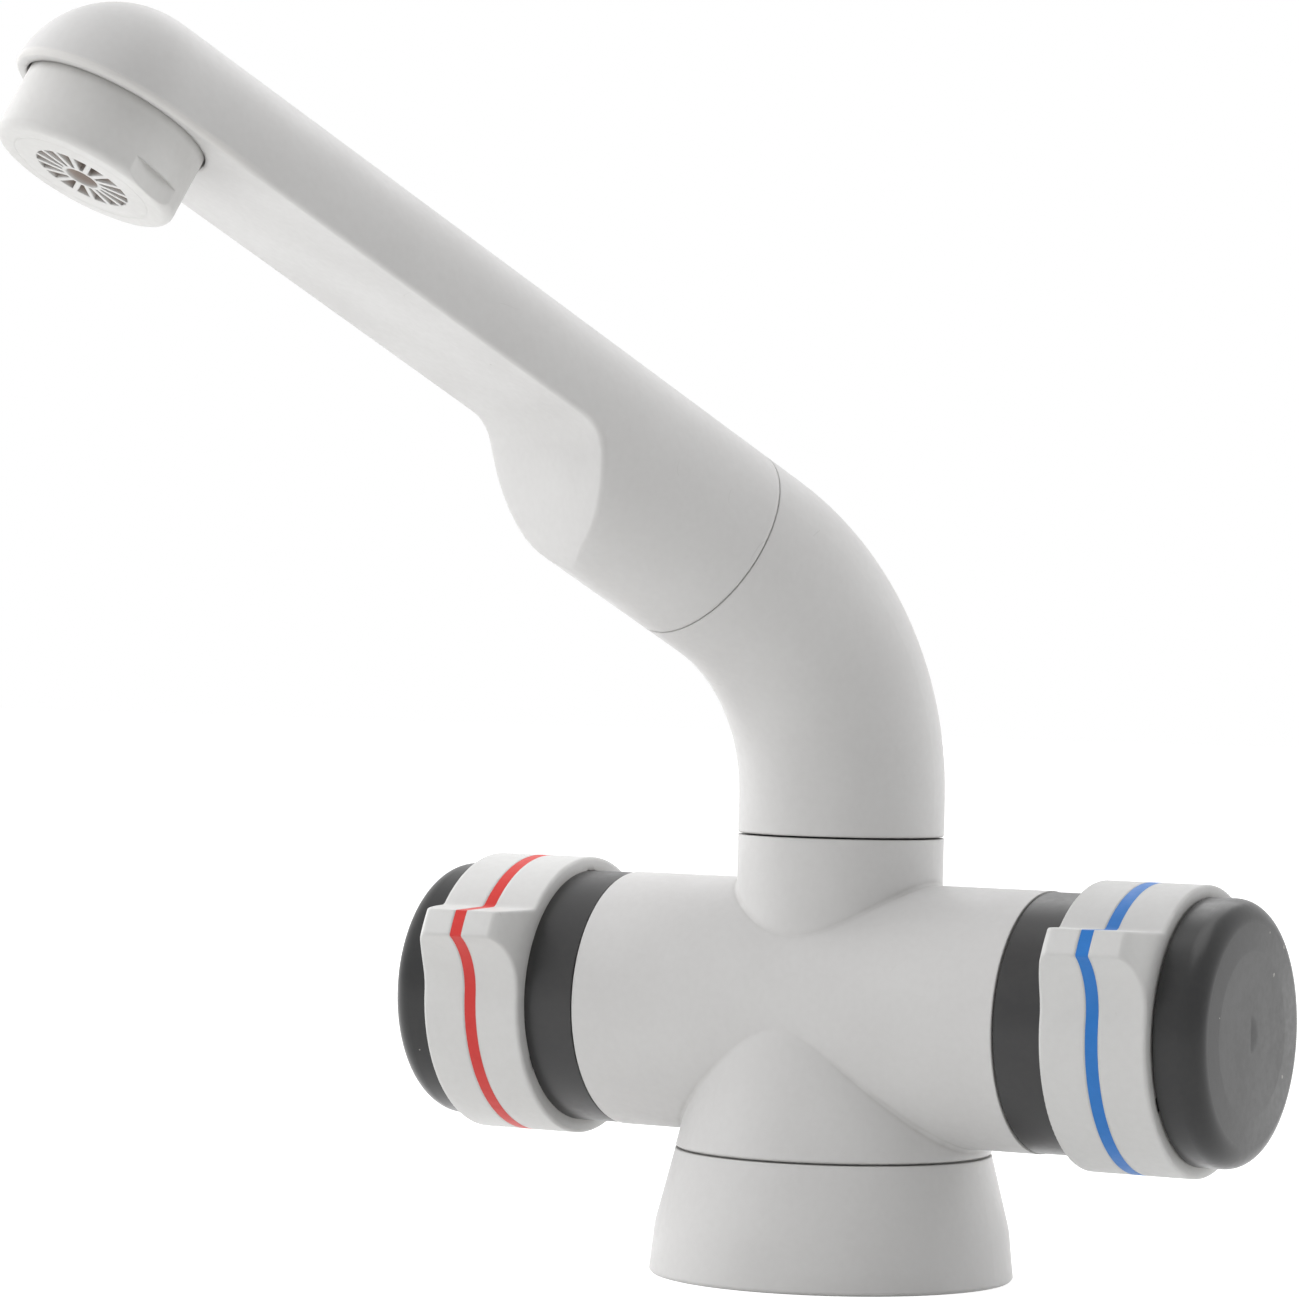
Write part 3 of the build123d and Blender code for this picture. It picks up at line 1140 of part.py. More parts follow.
# Aerator housing: screwed into the arm, with a slotted face, a centre hole and two spanner flats
with BuildPart() as aerator_housing:
    face_top = AERATOR_FACE - AERATOR_DROP
    turn_on_outlet(
        (
            (0, -AERATOR_DROP),
            (AERATOR_RADIUS, -AERATOR_DROP),
            (AERATOR_RADIUS, AERATOR_SKIRT_TOP),
            (AERATOR_NECK_RADIUS, AERATOR_SKIRT_TOP),
            (AERATOR_NECK_RADIUS, AERATOR_NECK_TOP),
            (AERATOR_BORE_RADIUS, AERATOR_NECK_TOP),
            (AERATOR_BORE_RADIUS, AERATOR_LEDGE_HEIGHT),
            (AERATOR_LEDGE_RADIUS, AERATOR_LEDGE_HEIGHT),
            (AERATOR_LEDGE_RADIUS, face_top),
            (0, face_top),
        )
    )
    outer_edges = aerator_housing.edges().filter_by(GeomType.CIRCLE).filter_by(
        lambda edge: abs(edge.radius - AERATOR_RADIUS) < TOLERANCE
    )
    fillet(outer_edges.sort_by(Axis(outlet_plane(0).origin, arm_frame.z_dir))[0], radius=AERATOR_EDGE)
    with BuildSketch(outlet_plane(-AERATOR_DROP)):
        Circle(FACE_SLOT_OUTER)
        with PolarLocations(FACE_SLOT_OUTER, FACE_SLOTS):
            Rectangle(2 * FACE_SLOT_OUTER, FACE_RIB, mode=Mode.SUBTRACT)
        Circle(FACE_SLOT_INNER, mode=Mode.SUBTRACT)
        Circle(FACE_HOLE_RADIUS)
    extrude(amount=AERATOR_FACE, mode=Mode.SUBTRACT)
    with BuildSketch(outlet_plane(-AERATOR_DROP)):
        with PolarLocations(FLAT_DISTANCE + AERATOR_RADIUS, 2, start_angle=FLAT_ANGLE):
            Rectangle(2 * AERATOR_RADIUS, 3 * AERATOR_RADIUS)
    extrude(amount=FLAT_HEIGHT + AERATOR_DROP, mode=Mode.SUBTRACT)
save(aerator_housing, "aerator_housing")


# Aerator insert: cup whose floor splits the water into jets
with BuildPart() as aerator_insert:
    turn_on_outlet(
        (
            (0, AERATOR_LEDGE_HEIGHT),
            (INSERT_CUP_RADIUS, AERATOR_LEDGE_HEIGHT),
            (INSERT_CUP_RADIUS, AERATOR_NECK_TOP),
            (INSERT_CUP_RADIUS - INSERT_WALL, AERATOR_NECK_TOP),
            (INSERT_CUP_RADIUS - INSERT_WALL, AERATOR_LEDGE_HEIGHT + INSERT_PLATE),
            (0, AERATOR_LEDGE_HEIGHT + INSERT_PLATE),
        )
    )
    with BuildSketch(outlet_plane(AERATOR_LEDGE_HEIGHT)):
        with PolarLocations(INNER_JETS_RADIUS, INNER_JETS):
            Circle(JET_HOLE_RADIUS)
        with PolarLocations(OUTER_JETS_RADIUS, OUTER_JETS):
            Circle(JET_HOLE_RADIUS)
    extrude(amount=INSERT_PLATE, mode=Mode.SUBTRACT)
save(aerator_insert, "aerator_insert")


# Aerator mesh: fine screen that rests on the slotted face
with BuildPart() as aerator_mesh:
    with BuildSketch(outlet_plane(AERATOR_FACE - AERATOR_DROP)):
        Circle(AERATOR_LEDGE_RADIUS - LAP_CLEARANCE)
    extrude(amount=MESH_THICKNESS)
save(aerator_mesh, "aerator_mesh")


# Aerator washer: seals the housing's neck against the arm
with BuildPart() as aerator_washer:
    with BuildSketch(outlet_plane(AERATOR_NECK_TOP)):
        Circle(AERATOR_WASHER_OUTER)
        Circle(AERATOR_WASHER_INNER, mode=Mode.SUBTRACT)
    extrude(amount=NECK_SOCKET_HEIGHT - AERATOR_NECK_TOP)
save(aerator_washer, "aerator_washer")
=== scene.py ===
"""Finishes, light and camera for a single-hole mixer tap with two ring knobs and a rising spout.

Lengths are in metres: X along the barrel to the cold knob, -Y to the front, Z up from the worktop.
"""
import math

import bpy
from mathutils import Matrix, Vector

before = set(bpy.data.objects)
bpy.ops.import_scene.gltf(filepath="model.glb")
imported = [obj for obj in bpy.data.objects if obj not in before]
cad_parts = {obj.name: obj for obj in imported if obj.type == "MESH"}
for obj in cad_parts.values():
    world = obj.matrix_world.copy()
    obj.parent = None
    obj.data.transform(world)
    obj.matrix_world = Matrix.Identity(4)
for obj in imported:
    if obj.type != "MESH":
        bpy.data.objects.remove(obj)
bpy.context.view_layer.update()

MM = 0.001
WHITE = (1, 1, 1, 1)

# Camera, solved from the photograph
PHOTO_WIDTH = 1299                      # pixels
FOCAL_LENGTH_PIXELS = 5077.27
SENSOR_WIDTH = 36.0                     # millimetres
CAMERA_PLACE = (0.3631, -0.7017, 0.0937)
CAMERA_YAW = math.radians(29.5685)
CAMERA_PITCH = math.radians(-0.2009)
CAMERA_ROLL = math.radians(1.3614)
LEVEL = math.radians(90)                # tilt of a camera that looks along the worktop

# Studio
FLOOR_SIZE = 12.0
FLOOR_COLOUR = (0.94, 0.94, 0.93, 1)
FLOOR_SEEN_COLOUR = (0.50, 0.50, 0.50, 1)
FLOOR_GLOW = 0.78                       # what the camera sees of the floor, over its own bounce
GLOW_RISE_DISTANCE = 0.45               # from the tap, where the glow starts to rise
FLOOR_WHITE_DISTANCE = 1.8              # from the tap, where it has risen to plain white
SURROUND_COLOUR = (1.0, 0.995, 0.985, 1)
SURROUND_STRENGTH = 0.305
LAMP_AIM = Vector((0, 0, 0.08))

# Places and sizes on the tap that the finishes follow
BARREL_AXIS_HEIGHT = 41.1 * MM
CAP_FACE_RADIUS = 16.7 * MM
ARM_START = Vector((-8.92, -19.02, 109.47)) * MM       # where the elbow's bend ends
ARM_DIRECTION = Vector((-0.3735, -0.7960, 0.4763))
ARM_TOP = Vector((0.2498, 0.4082, 0.8781))              # upwards and square to the arm
OUTLET_DISTANCE = 125.6 * MM            # of the outlet's axis, along the arm
OUTLET_FACE_HEIGHT = -10.3 * MM         # from the arm's axis, along the outlet's
OUTLET_BORE_RADIUS = 9.5 * MM
OUTLET_JOINT_RADIUS = 10.4 * MM         # of the joint ring in the outlet's face
OUTLET_JOINT_WIDTH = 0.5 * MM
OUTLET_POCKET_RADIUS = 14.3 * MM        # in the arm's head, round the outlet
OUTLET_FILM_START = 0.1 * MM            # behind the outlet's face, where the brown film starts
OUTLET_FILM_FULL = 0.7 * MM
HEAD_RIM_HEIGHT = 1.1 * MM              # of the pale rim along the head's lower edge, painted light from the bright floor below
HEAD_RIM_BLUR = 0.15 * MM               # to each side of its upper edge
HEAD_RIM_LOWER_BLUR = 0.1 * MM
HEAD_JOINT_HALF_WIDTH = 0.2 * MM        # of the mould's joint line on that edge
HEAD_RIM_START = -19 * MM               # from the outlet's axis, along the arm
HEAD_RIM_FULL = -9 * MM

# Relief in the finish, in millimetres: below the surface with a minus
CAP_CROWN = 0.9
BOSS_SINK = -0.008                      # of the ring that sank over the end cap's screw boss
BOSS_SWELL = 0.012                      # of the ring round that one
OUTLET_JOINT_DEPTH = -0.08
HEAD_JOINT_HEIGHT = 0.03
SCRATCH_DEPTH = -0.006
CERAMIC_PIT_DEPTH = -0.01
RUBBER_GRAIN_DEPTH = 0.012
LATHE_RING_DEPTH = 0.012

# Wear: how much of each kind shows, and what it does to the roughness
EDGE_RUBBING = 0.5                      # in the colour of plastic
RUBBER_BLOOM = 0.4                      # in the colour of rubber
EDGE_POLISHING = -0.12                  # added to the roughness where an edge is rubbed
SCRATCH_DIRT = 0.16
DIRT_AND_SHADE_ROUGHNESS = 0.3                    # added to the roughness under full dirt, and under full painted crevice shade
CERAMIC_PIT_DIRT = 0.5
POLISHED_ROUGHNESS = 0.26               # the roughness of a skin that hands have polished


# Node trees

NODE_SPACING = 180                      # keeps the nodes apart in the editor
COLOUR_MIX_SHARE = 0                    # sockets of the Mix node, by number, since those for
COLOUR_MIX_FIRST = 6                    # colours have the same names as those for numbers
COLOUR_MIX_SECOND = 7
COLOUR_MIX_RESULT = 2
NUMBER = "NodeSocketFloat"
VECTOR = "NodeSocketVector"


def set_or_join(tree, socket, value):
    """Joins another node's output to the socket, or sets a plain value there."""
    if isinstance(value, bpy.types.NodeSocket):
        tree.links.new(value, socket)
    else:
        socket.default_value = value


def add_node(tree, kind, inputs=None, **settings):
    """Adds a node, makes its settings, and sets or joins each of its named inputs."""
    node = tree.nodes.new("ShaderNode" + kind)
    node.location = (NODE_SPACING * len(tree.nodes), 0)
    for name, value in settings.items():
        setattr(node, name, value)
    for name, value in (inputs or {}).items():
        set_or_join(tree, node.inputs[name], value)
    return node


def calculate(tree, operation, first, second=0.0):
    """The result of one sum on two values."""
    return add_node(tree, "Math", {0: first, 1: second}, operation=operation).outputs[0]


def hypotenuse(tree, first, second):
    """The root of the sum of two values' squares."""
    squares = calculate(
        tree,
        "ADD",
        calculate(tree, "MULTIPLY", first, first),
        calculate(tree, "MULTIPLY", second, second),
    )
    return calculate(tree, "SQRT", squares)


def spread(tree, value, low, high, lowest=0.0, highest=1.0):
    """The value's part from low to high, stretched over lowest to highest and held there."""
    stretched = add_node(
        tree,
        "MapRange",
        {"Value": value, "From Min": low, "From Max": high, "To Min": lowest, "To Max": highest},
    )
    return stretched.outputs["Result"]


def blend_colours(tree, share, first, second):
    """The first colour, gone over to the second by that share."""
    inputs = {COLOUR_MIX_SHARE: share, COLOUR_MIX_FIRST: first, COLOUR_MIX_SECOND: second}
    return add_node(tree, "Mix", inputs, data_type="RGBA").outputs[COLOUR_MIX_RESULT]


def noise(tree, place, scale, detail=2.0):
    """Soft cloudy noise about 0.5, with so many lumps to a metre."""
    texture = add_node(tree, "TexNoise", {"Vector": place, "Scale": scale, "Detail": detail})
    return texture.outputs["Fac"]


def new_effect(name, inputs, outputs):
    """An empty node group with the named inputs and outputs, and its two end nodes."""
    group = bpy.data.node_groups.new(name, "ShaderNodeTree")
    for label, (kind, value) in inputs.items():
        socket = group.interface.new_socket(name=label, in_out="INPUT", socket_type=kind)
        if value is not None:
            socket.default_value = value
    for label, kind in outputs.items():
        group.interface.new_socket(name=label, in_out="OUTPUT", socket_type=kind)
    start = group.nodes.new("NodeGroupInput")
    end = group.nodes.new("NodeGroupOutput")
    return group, start.outputs, end.inputs


def add_effect(tree, group, **values):
    """Places an effect in a material, and sets or joins each of its named inputs."""
    node = tree.nodes.new("ShaderNodeGroup")
    node.node_tree = group
    node.location = (NODE_SPACING * len(tree.nodes), 0)
    for name, value in values.items():
        set_or_join(tree, node.inputs[name], value)
    return node.outputs


# Effects that several materials share

FLECKS_PART = 0.35                      # of the mottling
CLOUDS_PART = 0.65
WAVES_PART = 7.0                        # of the moulded wall's waviness, over its grain
SCRATCH_LEVEL = 0.57                    # of the noise whose level curves the scratches follow
SCRATCH_REACH = 0.32                    # of its own patch that a scratch crosses
# Curves and patches come so many to a metre; thinness is how far off its curve a scratch reaches
COARSE_SCRATCHES = {"curves": 71.0, "patches": 85.0, "thinness": 0.0022}
FINE_SCRATCHES = {"curves": 137.0, "patches": 150.0, "thinness": 0.0032}


def make_mottling():
    """Faint clouds of lighter and darker colour, as pigment and handling leave in plastic."""
    group, given, result = new_effect(
        "mottling",
        {"Place": (VECTOR, None), "Clouds": (NUMBER, 60.0), "Flecks": (NUMBER, 900.0)},
        {"Shade": NUMBER},
    )
    clouds = noise(group, given["Place"], given["Clouds"], detail=3.0)
    flecks = noise(group, given["Place"], given["Flecks"], detail=1.0)
    fine_part = calculate(group, "MULTIPLY", flecks, FLECKS_PART)
    coarse_part = calculate(group, "MULTIPLY", clouds, CLOUDS_PART)
    both = calculate(group, "ADD", fine_part, coarse_part)
    group.links.new(spread(group, both, low=0.36, high=0.64), result["Shade"])
    return group


def make_edge_wear():
    """Where an outer edge is rubbed, and the normal of an edge with a small round on it."""
    group, given, result = new_effect(
        "edge_wear",
        {"Place": (VECTOR, None), "Width": (NUMBER, 0.4 * MM)},
        {"Wear": NUMBER, "Rounded Normal": VECTOR},
    )
    rounded = add_node(group, "Bevel", {"Radius": given["Width"]}, samples=4)
    surface = add_node(group, "NewGeometry")
    agreement = add_node(
        group,
        "VectorMath",
        {0: rounded.outputs["Normal"], 1: surface.outputs["Normal"]},
        operation="DOT_PRODUCT",
    )
    edge = spread(group, agreement.outputs["Value"], low=0.995, high=0.90)
    cloudy = noise(group, given["Place"], scale=260.0, detail=4.0)
    patches = spread(group, cloudy, low=0.42, high=0.62)
    group.links.new(calculate(group, "MULTIPLY", edge, patches), result["Wear"])
    group.links.new(rounded.outputs["Normal"], result["Rounded Normal"])
    return group


def make_moulded_grain():
    """The height of a spark-eroded mould's fine grain, over a slow waviness of the wall."""
    group, given, result = new_effect(
        "moulded_grain",
        {"Place": (VECTOR, None), "Grain": (NUMBER, 3200.0), "Waves": (NUMBER, 90.0)},
        {"Height": NUMBER},
    )
    grain = noise(group, given["Place"], given["Grain"])
    waves = noise(group, given["Place"], given["Waves"], detail=1.0)
    slow = calculate(group, "MULTIPLY", waves, WAVES_PART)
    group.links.new(calculate(group, "ADD", grain, slow), result["Height"])
    return group


def make_specks():
    """Small specks of dust or dirt of many sizes, here and there on the surface."""
    group, given, result = new_effect(
        "specks",
        {
            "Place": (VECTOR, None),
            "Scale": (NUMBER, 260.0),
            "Share": (NUMBER, 0.03),
            "Radius": (NUMBER, 0.16),
        },
        {"Speck": NUMBER},
    )
    cells = add_node(group, "TexVoronoi", {"Vector": given["Place"], "Scale": given["Scale"]})
    lot = add_node(group, "SeparateColor", {"Color": cells.outputs["Color"]})
    raggedness = noise(group, given["Place"], scale=3500.0)
    ragged = calculate(group, "MULTIPLY", raggedness, given["Radius"])
    reach = calculate(group, "MULTIPLY", ragged, lot.outputs["Blue"])
    inside = calculate(group, "LESS_THAN", cells.outputs["Distance"], reach)
    chosen = calculate(group, "LESS_THAN", lot.outputs["Red"], given["Share"])
    group.links.new(calculate(group, "MULTIPLY", inside, chosen), result["Speck"])
    return group


def add_scratches(tree, place, share, curves, patches, thinness):
    """Thin level curves of a noise, each kept only inside a few scattered round patches."""
    field = noise(tree, place, scale=curves, detail=0.0)
    off_curve = calculate(tree, "ABSOLUTE", calculate(tree, "SUBTRACT", field, SCRATCH_LEVEL))
    on_curve = calculate(tree, "LESS_THAN", off_curve, thinness)
    cells = add_node(tree, "TexVoronoi", {"Vector": place, "Scale": patches})
    inside = calculate(tree, "LESS_THAN", cells.outputs["Distance"], SCRATCH_REACH)
    lot = add_node(tree, "SeparateColor", {"Color": cells.outputs["Color"]})
    chosen = calculate(tree, "LESS_THAN", lot.outputs["Green"], share)
    stretch = calculate(tree, "MULTIPLY", inside, chosen)
    return calculate(tree, "MULTIPLY", on_curve, stretch)


def make_scuffs():
    """Hairline scratches: short stretches of thin wandering curves, coarse and fine."""
    group, given, result = new_effect(
        "scuffs",
        {"Place": (VECTOR, None), "Share": (NUMBER, 0.1)},
        {"Scuff": NUMBER},
    )
    coarse = add_scratches(group, given["Place"], given["Share"], **COARSE_SCRATCHES)
    fine = add_scratches(group, given["Place"], given["Share"], **FINE_SCRATCHES)
    group.links.new(calculate(group, "MAXIMUM", coarse, fine), result["Scuff"])
    return group


def make_crevice_shading():
    """Painted shade where two walls or pieces meet, found by ambient occlusion, and left off the
    lowest few millimetres next to the floor.
    """
    group, given, result = new_effect(
        "crevice_shading",
        {"Place": (VECTOR, None), "Reach": (NUMBER, 1.2 * MM)},
        {"Painted Shade": NUMBER},
    )
    nearby = add_node(group, "AmbientOcclusion", {"Distance": given["Reach"]}, samples=4)
    shut_in = spread(group, nearby.outputs["AO"], low=0.92, high=0.42)
    cloudy = noise(group, given["Place"], scale=300.0, detail=3.0)
    patches = spread(group, cloudy, low=0.3, high=0.7, lowest=0.4)
    height = add_node(group, "SeparateXYZ", {"Vector": given["Place"]}).outputs["Z"]
    clear_of_foot = spread(group, height, low=1.0 * MM, high=3.0 * MM)
    patchy_shade = calculate(group, "MULTIPLY", shut_in, patches)
    group.links.new(calculate(group, "MULTIPLY", patchy_shade, clear_of_foot), result["Painted Shade"])
    return group


def make_turning_marks():
    """Rings that a lathe tool leaves round an axis, on the sides and on the ends alike."""
    group, given, result = new_effect(
        "turning_marks",
        {"Along": (NUMBER, 0.0), "Outwards": (NUMBER, 0.0), "Rings": (NUMBER, 5000.0)},
        {"Height": NUMBER},
    )
    distance = calculate(group, "ADD", given["Along"], given["Outwards"])
    rings = add_node(
        group,
        "TexNoise",
        {"W": distance, "Scale": given["Rings"], "Detail": 2.0},
        noise_dimensions="1D",
    )
    group.links.new(rings.outputs["Fac"], result["Height"])
    return group


mottling = make_mottling()
edge_wear = make_edge_wear()
moulded_grain = make_moulded_grain()
specks = make_specks()
scuffs = make_scuffs()
crevice_shading = make_crevice_shading()
turning_marks = make_turning_marks()


# Kinds of material

def new_material(name):
    """A material's node tree, its shader, and the place on the piece that its patterns read."""
    material = bpy.data.materials.new(name)
    material.use_nodes = True
    tree = material.node_tree
    shader = tree.nodes["Principled BSDF"]
    place = add_node(tree, "TexCoord").outputs["Object"]
    return material, tree, shader, place


def finish_shader(tree, shader, colour, roughness, height, under_normal):
    """Joins colour, roughness and relief to the shader; the relief's height is in millimetres."""
    relief = add_node(
        tree,
        "Bump",
        {"Height": height, "Distance": MM, "Strength": 1.0, "Normal": under_normal},
    )
    tree.links.new(colour, shader.inputs["Base Color"])
    tree.links.new(roughness, shader.inputs["Roughness"])
    tree.links.new(relief.outputs["Normal"], shader.inputs["Normal"])


def moulded_plastic(
    name,
    colour,
    shaded_colour,
    rubbed_colour,
    dirt_and_shade_colour,
    gloss=0.24,
    polish=0.0,
    speck_share=0.03,
    speck_strength=0.35,
    scuff_share=0.08,
    smoothest=0.40,
    roughest=0.54,
    edge_width=0.5 * MM,
    grain_depth=0.004,
    crevice_shade_limit=0.35,
    stain_and_painted_light=None,
    stain_and_painted_light_colour=WHITE,
    relief=None,
):
    """Injection-moulded plastic with grain, pigment clouds, rubbed edges, dust, scratches and
    painted shade in its crevices.

    The stain function and the relief function take the node tree and the place on the piece. The
    first gives the share of the stain colour there, a real stain on the outlet and painted light
    on the arm's head rim; the second a further height in millimetres.
    """
    material, tree, shader, place = new_material(name)
    shader.inputs["Specular IOR Level"].default_value = gloss
    shader.inputs["Coat Weight"].default_value = polish
    shader.inputs["Coat Roughness"].default_value = POLISHED_ROUGHNESS
    shade = add_effect(tree, mottling, Place=place)["Shade"]
    edge = add_effect(tree, edge_wear, Place=place, Width=edge_width)
    grain = add_effect(tree, moulded_grain, Place=place)["Height"]
    speck = add_effect(tree, specks, Place=place, Share=speck_share)["Speck"]
    scuff = add_effect(tree, scuffs, Place=place, Share=scuff_share)["Scuff"]
    shade_in_crevices = add_effect(tree, crevice_shading, Place=place)["Painted Shade"]

    pigment = blend_colours(tree, shade, colour, shaded_colour)
    # A stain's colour; on the arm's head rim this is painted light.
    if stain_and_painted_light is not None:
        pigment = blend_colours(tree, stain_and_painted_light(tree, place), pigment, stain_and_painted_light_colour)
    rubbed = calculate(tree, "MULTIPLY", edge["Wear"], EDGE_RUBBING)
    pigment = blend_colours(tree, rubbed, pigment, rubbed_colour)
    scratched = calculate(tree, "MULTIPLY", scuff, SCRATCH_DIRT)
    specked = calculate(tree, "MULTIPLY", speck, speck_strength)
    # Painted shade: where ambient occlusion finds a crevice, the colour goes towards the dirt
    # colour, up to a limit.
    painted_crevice_shade = calculate(tree, "MINIMUM", shade_in_crevices, crevice_shade_limit)
    dirt_and_shade = calculate(tree, "MAXIMUM", calculate(tree, "MAXIMUM", scratched, specked), painted_crevice_shade)
    pigment = blend_colours(tree, dirt_and_shade, pigment, dirt_and_shade_colour)

    roughness = spread(tree, shade, 0.0, 1.0, lowest=smoothest, highest=roughest)
    polished = calculate(tree, "MULTIPLY", edge["Wear"], EDGE_POLISHING)
    roughness = calculate(tree, "ADD", roughness, polished)
    dirt_and_shade_roughening = calculate(tree, "MULTIPLY", dirt_and_shade, DIRT_AND_SHADE_ROUGHNESS)
    roughness = calculate(tree, "ADD", roughness, dirt_and_shade_roughening)

    height = calculate(tree, "MULTIPLY", grain, grain_depth)
    scored = calculate(tree, "MULTIPLY", scuff, SCRATCH_DEPTH)
    height = calculate(tree, "ADD", height, scored)
    if relief is not None:
        height = calculate(tree, "ADD", height, relief(tree, place))
    finish_shader(tree, shader, pigment, roughness, height, edge["Rounded Normal"])
    return material


def black_rubber():
    """Black nitrile rubber: matt, faintly dusty, with a fine pimpled skin."""
    fresh_colour = (0.018, 0.018, 0.019, 1)
    aged_colour = (0.035, 0.034, 0.033, 1)
    bloom_colour = (0.11, 0.11, 0.105, 1)
    material, tree, shader, place = new_material("seal_rubber")
    shader.inputs["Specular IOR Level"].default_value = 0.35
    shade = add_effect(tree, mottling, Place=place, Clouds=140.0)["Shade"]
    edge = add_effect(tree, edge_wear, Place=place, Width=0.15 * MM)
    grain = add_effect(tree, moulded_grain, Place=place, Grain=4200.0)["Height"]
    colour = blend_colours(tree, shade, fresh_colour, aged_colour)
    bloom = calculate(tree, "MULTIPLY", edge["Wear"], RUBBER_BLOOM)
    colour = blend_colours(tree, bloom, colour, bloom_colour)
    roughness = spread(tree, shade, 0.0, 1.0, lowest=0.72, highest=0.9)
    height = calculate(tree, "MULTIPLY", grain, RUBBER_GRAIN_DEPTH)
    finish_shader(tree, shader, colour, roughness, height, edge["Rounded Normal"])
    return material


def lapped_ceramic():
    """Lapped white alumina with a faint warm cast and tiny pits."""
    clean_colour = (0.80, 0.79, 0.75, 1)
    warm_colour = (0.74, 0.72, 0.66, 1)
    pit_colour = (0.42, 0.40, 0.36, 1)
    material, tree, shader, place = new_material("valve_ceramic")
    shade = add_effect(tree, mottling, Place=place, Clouds=200.0)["Shade"]
    edge = add_effect(tree, edge_wear, Place=place, Width=0.1 * MM)
    pits = add_effect(tree, specks, Place=place, Scale=1400.0, Share=0.2, Radius=0.3)["Speck"]
    colour = blend_colours(tree, shade, clean_colour, warm_colour)
    dirty_pits = calculate(tree, "MULTIPLY", pits, CERAMIC_PIT_DIRT)
    colour = blend_colours(tree, dirty_pits, colour, pit_colour)
    roughness = spread(tree, shade, 0.0, 1.0, lowest=0.10, highest=0.24)
    height = calculate(tree, "MULTIPLY", pits, CERAMIC_PIT_DEPTH)
    finish_shader(tree, shader, colour, roughness, height, edge["Rounded Normal"])
    return material


def distance_from_barrel_axis(tree, place):
    """How far a point lies from the knobs' axis."""
    parts = add_node(tree, "SeparateXYZ", {"Vector": place}).outputs
    rise = calculate(tree, "SUBTRACT", parts["Z"], BARREL_AXIS_HEIGHT)
    return hypotenuse(tree, parts["Y"], rise)


def turned_metal(name, colour, tarnished_colour, bright_colour, lengthwise, smoothest, roughest):
    """Machined metal with lathe rings, patches of tarnish and bright edges.

    Lengthwise pieces were turned about the barrel's axis. On upright ones the distance
    from the tap's middle stands in for that from the piece's own axis.
    """
    material, tree, shader, place = new_material(name)
    shader.inputs["Metallic"].default_value = 1.0
    parts = add_node(tree, "SeparateXYZ", {"Vector": place}).outputs
    if lengthwise:
        along = parts["X"]
        outwards = distance_from_barrel_axis(tree, place)
    else:
        along = parts["Z"]
        outwards = calculate(tree, "ABSOLUTE", parts["X"])
    marks = add_effect(tree, turning_marks, Along=along, Outwards=outwards)["Height"]
    shade = add_effect(tree, mottling, Place=place, Clouds=180.0)["Shade"]
    edge = add_effect(tree, edge_wear, Place=place, Width=0.2 * MM)
    in_the_rings = spread(tree, marks, low=0.3, high=0.7, lowest=0.6)
    tarnish = calculate(tree, "MULTIPLY", shade, in_the_rings)
    finish = blend_colours(tree, tarnish, colour, tarnished_colour)
    finish = blend_colours(tree, edge["Wear"], finish, bright_colour)
    roughness = spread(tree, tarnish, 0.0, 1.0, lowest=smoothest, highest=roughest)
    height = calculate(tree, "MULTIPLY", marks, LATHE_RING_DEPTH)
    finish_shader(tree, shader, finish, roughness, height, edge["Rounded Normal"])
    return material


# Marks of single pieces

def ring_relief(tree, distance, radius, width, height):
    """A ring of that height in millimetres, falling to nothing half its width to each side."""
    off_centre = calculate(tree, "ABSOLUTE", calculate(tree, "SUBTRACT", distance, radius))
    ring = spread(tree, off_centre, low=width / 2, high=0.0)
    return calculate(tree, "MULTIPLY", ring, height)


def cap_relief(tree, place):
    """An end cap's slightly crowned face, with the sink rings of the screw boss behind it."""
    distance = distance_from_barrel_axis(tree, place)
    outwards = spread(tree, distance, low=0.0, high=CAP_FACE_RADIUS)
    squared = calculate(tree, "MULTIPLY", outwards, outwards)
    fall = calculate(tree, "MULTIPLY", squared, -CAP_CROWN)
    sink = ring_relief(tree, distance, radius=7.0 * MM, width=3.6 * MM, height=BOSS_SINK)
    swell = ring_relief(tree, distance, radius=12.8 * MM, width=4.0 * MM, height=BOSS_SWELL)
    return calculate(tree, "ADD", fall, calculate(tree, "ADD", sink, swell))


def outlet_place(tree, place):
    """Coordinates round the outlet's axis: X along the arm, Z out of its top."""
    across = ARM_DIRECTION.cross(ARM_TOP)
    turn = Matrix((ARM_DIRECTION, -across, ARM_TOP)).to_euler()
    centre = ARM_START + OUTLET_DISTANCE * ARM_DIRECTION
    centred = add_node(tree, "VectorMath", {0: place, 1: centre}, operation="SUBTRACT")
    turned = add_node(tree, "Mapping", {"Vector": centred.outputs["Vector"], "Rotation": turn})
    return add_node(tree, "SeparateXYZ", {"Vector": turned.outputs["Vector"]}).outputs


def distance_from_outlet_axis(tree, parts):
    """How far a point lies from the outlet's axis."""
    return hypotenuse(tree, parts["X"], parts["Y"])


def outlet_relief(tree, place):
    """The fine joint ring in the outlet's face."""
    distance = distance_from_outlet_axis(tree, outlet_place(tree, place))
    return ring_relief(
        tree, distance, OUTLET_JOINT_RADIUS, OUTLET_JOINT_WIDTH, OUTLET_JOINT_DEPTH
    )


